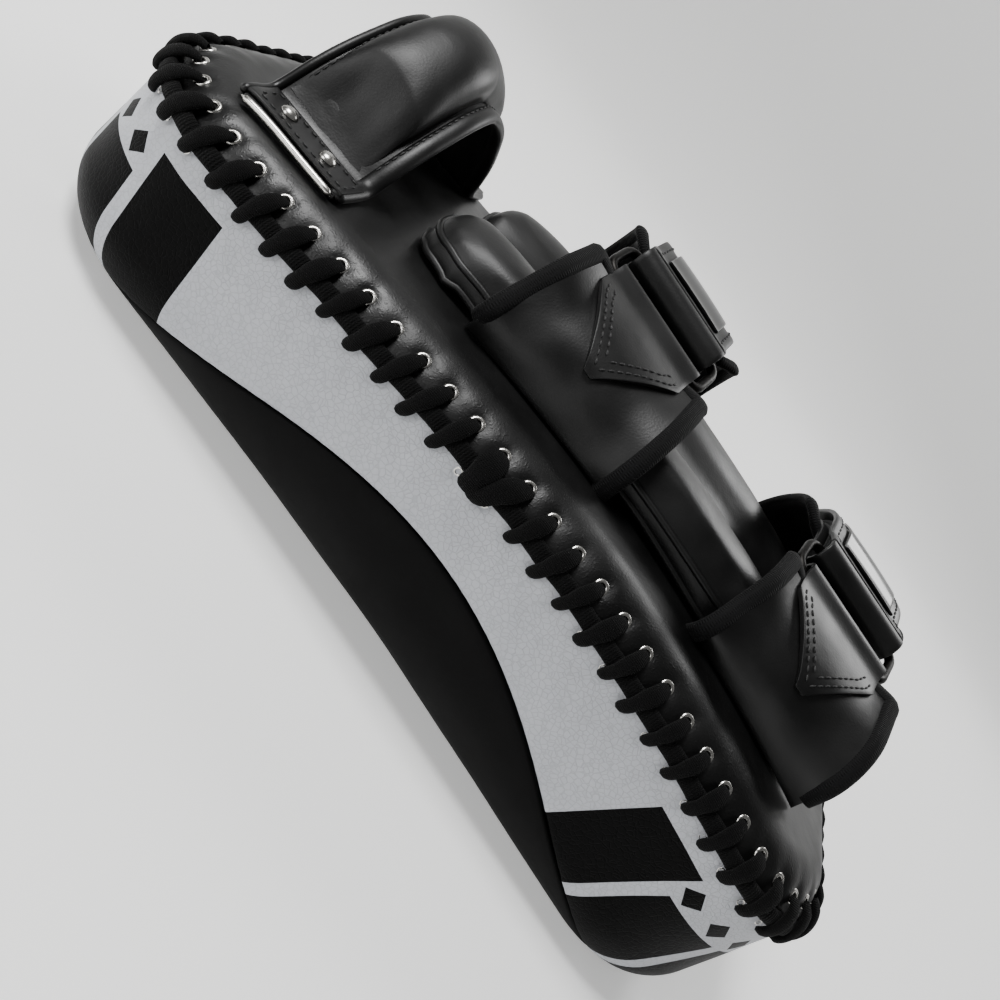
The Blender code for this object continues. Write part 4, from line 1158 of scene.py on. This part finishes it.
def makeStrap(name, centreX, drop):
    plan = strapPlan
    leather = finishes["leather"]
    hinge = (hingeLine[0], dropped(hingeLine[1], drop))
    bar = (keeperBar[0], dropped(keeperBar[1], drop))
    tops = {side: [(y, dropped(z, drop)) for y, z in wing]
            for side, wing in (("near", nearWing), ("far", farWing))}
    seed = 3.0 if name == "upper" else 40.0
    for side, top in tops.items():
        foot = math.copysign(plan["wingY"], top[0][0])
        path = [(foot, backHeight(centreX, foot) + 1.0)] + top
        length = pathLength([Vector((0, y, z)) for y, z in path])

        def halfAt(distance, length=length):
            return plan["wingBase"] + (plan["wingTop"] - plan["wingBase"]) * distance / length

        def relief(x, distance, length=length, outward=1 if side == "near" else -1):
            # the ring pulls the middle in, so the corners of the free end stand out
            loose = max(1 - distance / (length * 0.85), 0)
            wave = 1.3 * math.sin(x / 8 + seed) * loose * min(distance / 12, 1) * (abs(x) / 38) ** 1.5
            corner = plan["flare"] * (max(abs(x) - 19, 0) / 17) ** 1.6 * (distance / length) ** 1.5
            if x < 0 and outward > 0:
                wave += plan["curl"] * math.sin(math.pi * distance / 17) * loose * (abs(x) / 38) ** 3
            return outward * (wave + corner) + 0.9 * wander(x, distance, seed, 17) * min(distance / 10, 1)

        wing = bandSheet(name + side.title() + "Wing", path, halfAt, centreX, plan["wing"], 34, 2.0, relief,
                         True)
        keep(wing, leather, stands=["%s_%s_wing" % (name, side)])
        makeBinding(name + side.title() + "Binding", centreX, path, halfAt, relief, length,
                    ["%s_%s_binding" % (name, side)])
    outer = offsetPath(tops["near"], plan["keeperOffset"])
    inner = offsetPath(tops["near"], -plan["keeperOffset"])
    start = tuple((Vector(outer[1]) + Vector(outer[2])) / 2)
    path = [start] + outer[2:] + arcPoints(bar, plan["keeperRadius"], 110, -60, 8) + [inner[-1], inner[-2]]

    def keeperHalf(distance):
        return min(plan["half"], 2.0 + plan["half"] * distance / plan["point"])

    def keeperRelief(x, distance):
        return 0.35 * wander(x, distance, seed + 9, 14) * clamped((46 - distance) / 12)

    keeper = bandSheet(name + "RingKeeper", path, keeperHalf, centreX, plan["thick"], 24, 1.6, keeperRelief)
    keep(keeper, leather, stands=[name + "_ring_keeper"])
    points = [Vector((0, y, z)) for y, z in path]
    fine = smoothPath(points, 120)
    reach = pathLength(points)
    for number, inset in enumerate((3.0, 6.2)):
        for side in (-1, 1):
            row = []
            for n, point in enumerate(fine):
                distance = reach * n / 119
                half = keeperHalf(distance) - inset * (1.25 if distance < plan["point"] else 1.0)
                if half > 0.5 and distance < 36:
                    row.append(Vector((centreX + side * half, point.y - 2, point.z + 2)))
            hand = "Left" if side < 0 else "Right"
            sewRow(keeper, row, "%sKeeperSeam%d%s" % (name, number, hand), pitch=3.4)

    fixed = offsetPath(tops["far"], -plan["fixedOffset"])[2:]
    low, high = hinge[1] - plan["foldRadius"], hinge[1] + plan["foldRadius"]
    fixed += [(15.0, low + 5.2), (7.0, low + 1.6), (1.5, low + 0.1), (hinge[0] + plan["gap"], low)]
    half = lambda distance: plan["half"]
    strap = bandSheet(name + "ClosureStrap", fixed, half, centreX, plan["thick"],
                      relief=lambda x, d: 0.25 * wander(x, d, seed, 18))
    keep(strap, leather, stands=[name + "_closure_strap"])
    patch = lambda distance: plan["patchHalf"]
    reachOut = plan["thick"] / 2 + 0.5 + plan["patch"] / 2
    loops = bandSheet(name + "LoopPatch", offsetPath(fixed, -reachOut)[1:-1], patch, centreX, plan["patch"])
    keep(loops, finishes["pile"], stands=[name + "_loop_patch"])
    bend = arcPoints(hinge, plan["foldRadius"], -92.5, -267.5, 12)
    fold = bandSheet(name + "ClosureFold", bend, half, centreX, plan["thick"], step=1.0)
    keep(fold, leather, None, [name + "_closure_fold"])
    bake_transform(fold)

    body = name + "_flap"
    over = offsetPath(fixed, -plan["flapGap"])[:-3] + [(7.0, high - 0.6), (hinge[0] + plan["gap"], high)]
    span = pathLength([Vector((0, y, z)) for y, z in over])

    def flapRelief(x, distance):
        # padded border: a ridge near every edge with a stitched valley inside it
        edge = min(plan["half"] - abs(x), distance + 1, span - distance + 3)
        return -0.5 * math.exp(-((edge - 2.6) / 1.6) ** 2) + 0.25 * wander(x, distance, seed + 5, 16)

    flap = bandSheet(name + "ClosureFlap", over, half, centreX, plan["thick"], 30, 1.6, flapRelief)
    keep(flap, leather, body, [name + "_closure_flap"])
    hooks = bandSheet(name + "HookPatch", offsetPath(fixed, reachOut - plan["flapGap"])[1:-2], patch, centreX,
                      plan["patch"])
    keep(hooks, finishes["pile"], body, [name + "_hook_patch"])
    badgePath = offsetPath(over, -(plan["thick"] / 2 + plan["gap"] + plan["badge"] / 2))[2:-1]
    crownUp = lambda x, d: -0.35 * (1 - (x / plan["badgeHalf"]) ** 2)
    badgeWidth = lambda distance: plan["badgeHalf"]
    badge = bandSheet(name + "FlapBadge", badgePath, badgeWidth, centreX, plan["badge"], 24, 1.5, crownUp,
                      edge=0.6)
    keep(badge, finishes["rubber"], body, [name + "_flap_badge"])
    fineFlap = smoothPath([Vector((0, y, z)) for y, z in over], 80)
    for side in (-1, 1):
        row = [Vector((centreX + side * (plan["half"] - 4.2), p.y, p.z + 3)) for p in fineFlap[4:-6]]
        sewRow(flap, row, name + ("FlapSeamLeft" if side < 0 else "FlapSeamRight"), body, 3.4)
    makeRing(name, centreX, bar, hinge)


def makeBinding(name, centreX, path, halfAt, relief, length, stands):
    # ribbed tape folded over the wing's edge: up one side, round its end and down the other
    plan = strapPlan
    points = smoothPath([Vector((0, y, z)) for y, z in path], 41)

    def tapePoint(row, x):
        point = points[row]
        along = (points[min(row + 1, 40)] - points[max(row - 1, 0)]).normalized()
        out = Vector((0, -along.z, along.y))
        moved = point + out * relief(x, length * row / 40)
        return Vector((centreX + x, moved.y, moved.z)), out, along

    def edgePoint(row, side):
        return tapePoint(row, side * (halfAt(length * row / 40) - 0.6))

    route = [edgePoint(row, -1) for row in range(0, 40, 2)]
    half = halfAt(length) - 3.0
    for n in range(17):
        end, out, along = tapePoint(40, half * (n / 8 - 1))
        route.append((end + along * (0.6 - 1.6 * (abs(n - 8) == 8)), out, along))
    route += [edgePoint(row, 1) for row in range(38, -1, -2)]
    fine = smoothPath([r[0] for r in route], 150)
    outs = []
    for point in fine:
        nearest = min(route, key=lambda r: (r[0] - point).length_squared)
        outs.append(nearest[1])
    tape = sweepTube(name, fine, 16, lambda s: (plan["tape"] * 0.97, 2.35) if 0 < s < 1 else (0, 0),
                     lambda i: outs[i])
    keep(tape, finishes["tape"], stands=stands)


def makeRing(name, centreX, bar, hinge):
    plan = strapPlan
    near = Vector((centreX, *bar))
    across = Vector((0, hinge[0] - bar[0], hinge[1] - bar[1]))
    length = across.length
    across.normalize()
    points = []
    for u, v, start in ((1, length, 0), (-1, length, 90), (-1, 0, 180), (1, 0, 270)):
        centreU = u * (plan["ringHalf"] - plan["ringCorner"])
        centreV = v - plan["ringCorner"] if v else plan["ringCorner"]
        for n in range(7):
            angle = math.radians(start + 15 * n)
            points.append(near + Vector((centreU + plan["ringCorner"] * math.cos(angle), 0, 0))
                          + across * (centreV + plan["ringCorner"] * math.sin(angle)))
    ring = sweepTube(name + "Ring", points, 14, lambda s: (plan["wire"], plan["wire"]),
                     Vector((1, 0, 0)).cross(across), True)
    keep(ring, finishes["wire"], name + "_ring", [name + "_ring"])


for strapName, strapCentre in strapPlan["centres"].items():
    makeStrap(strapName, strapCentre, strapPlan["drops"][strapName])
print("straps made")

for name in ("front_foam", "core_foam", "back_foam"):
    nodes[name].data.materials.clear()
    nodes[name].data.materials.append(finishes["foam"])
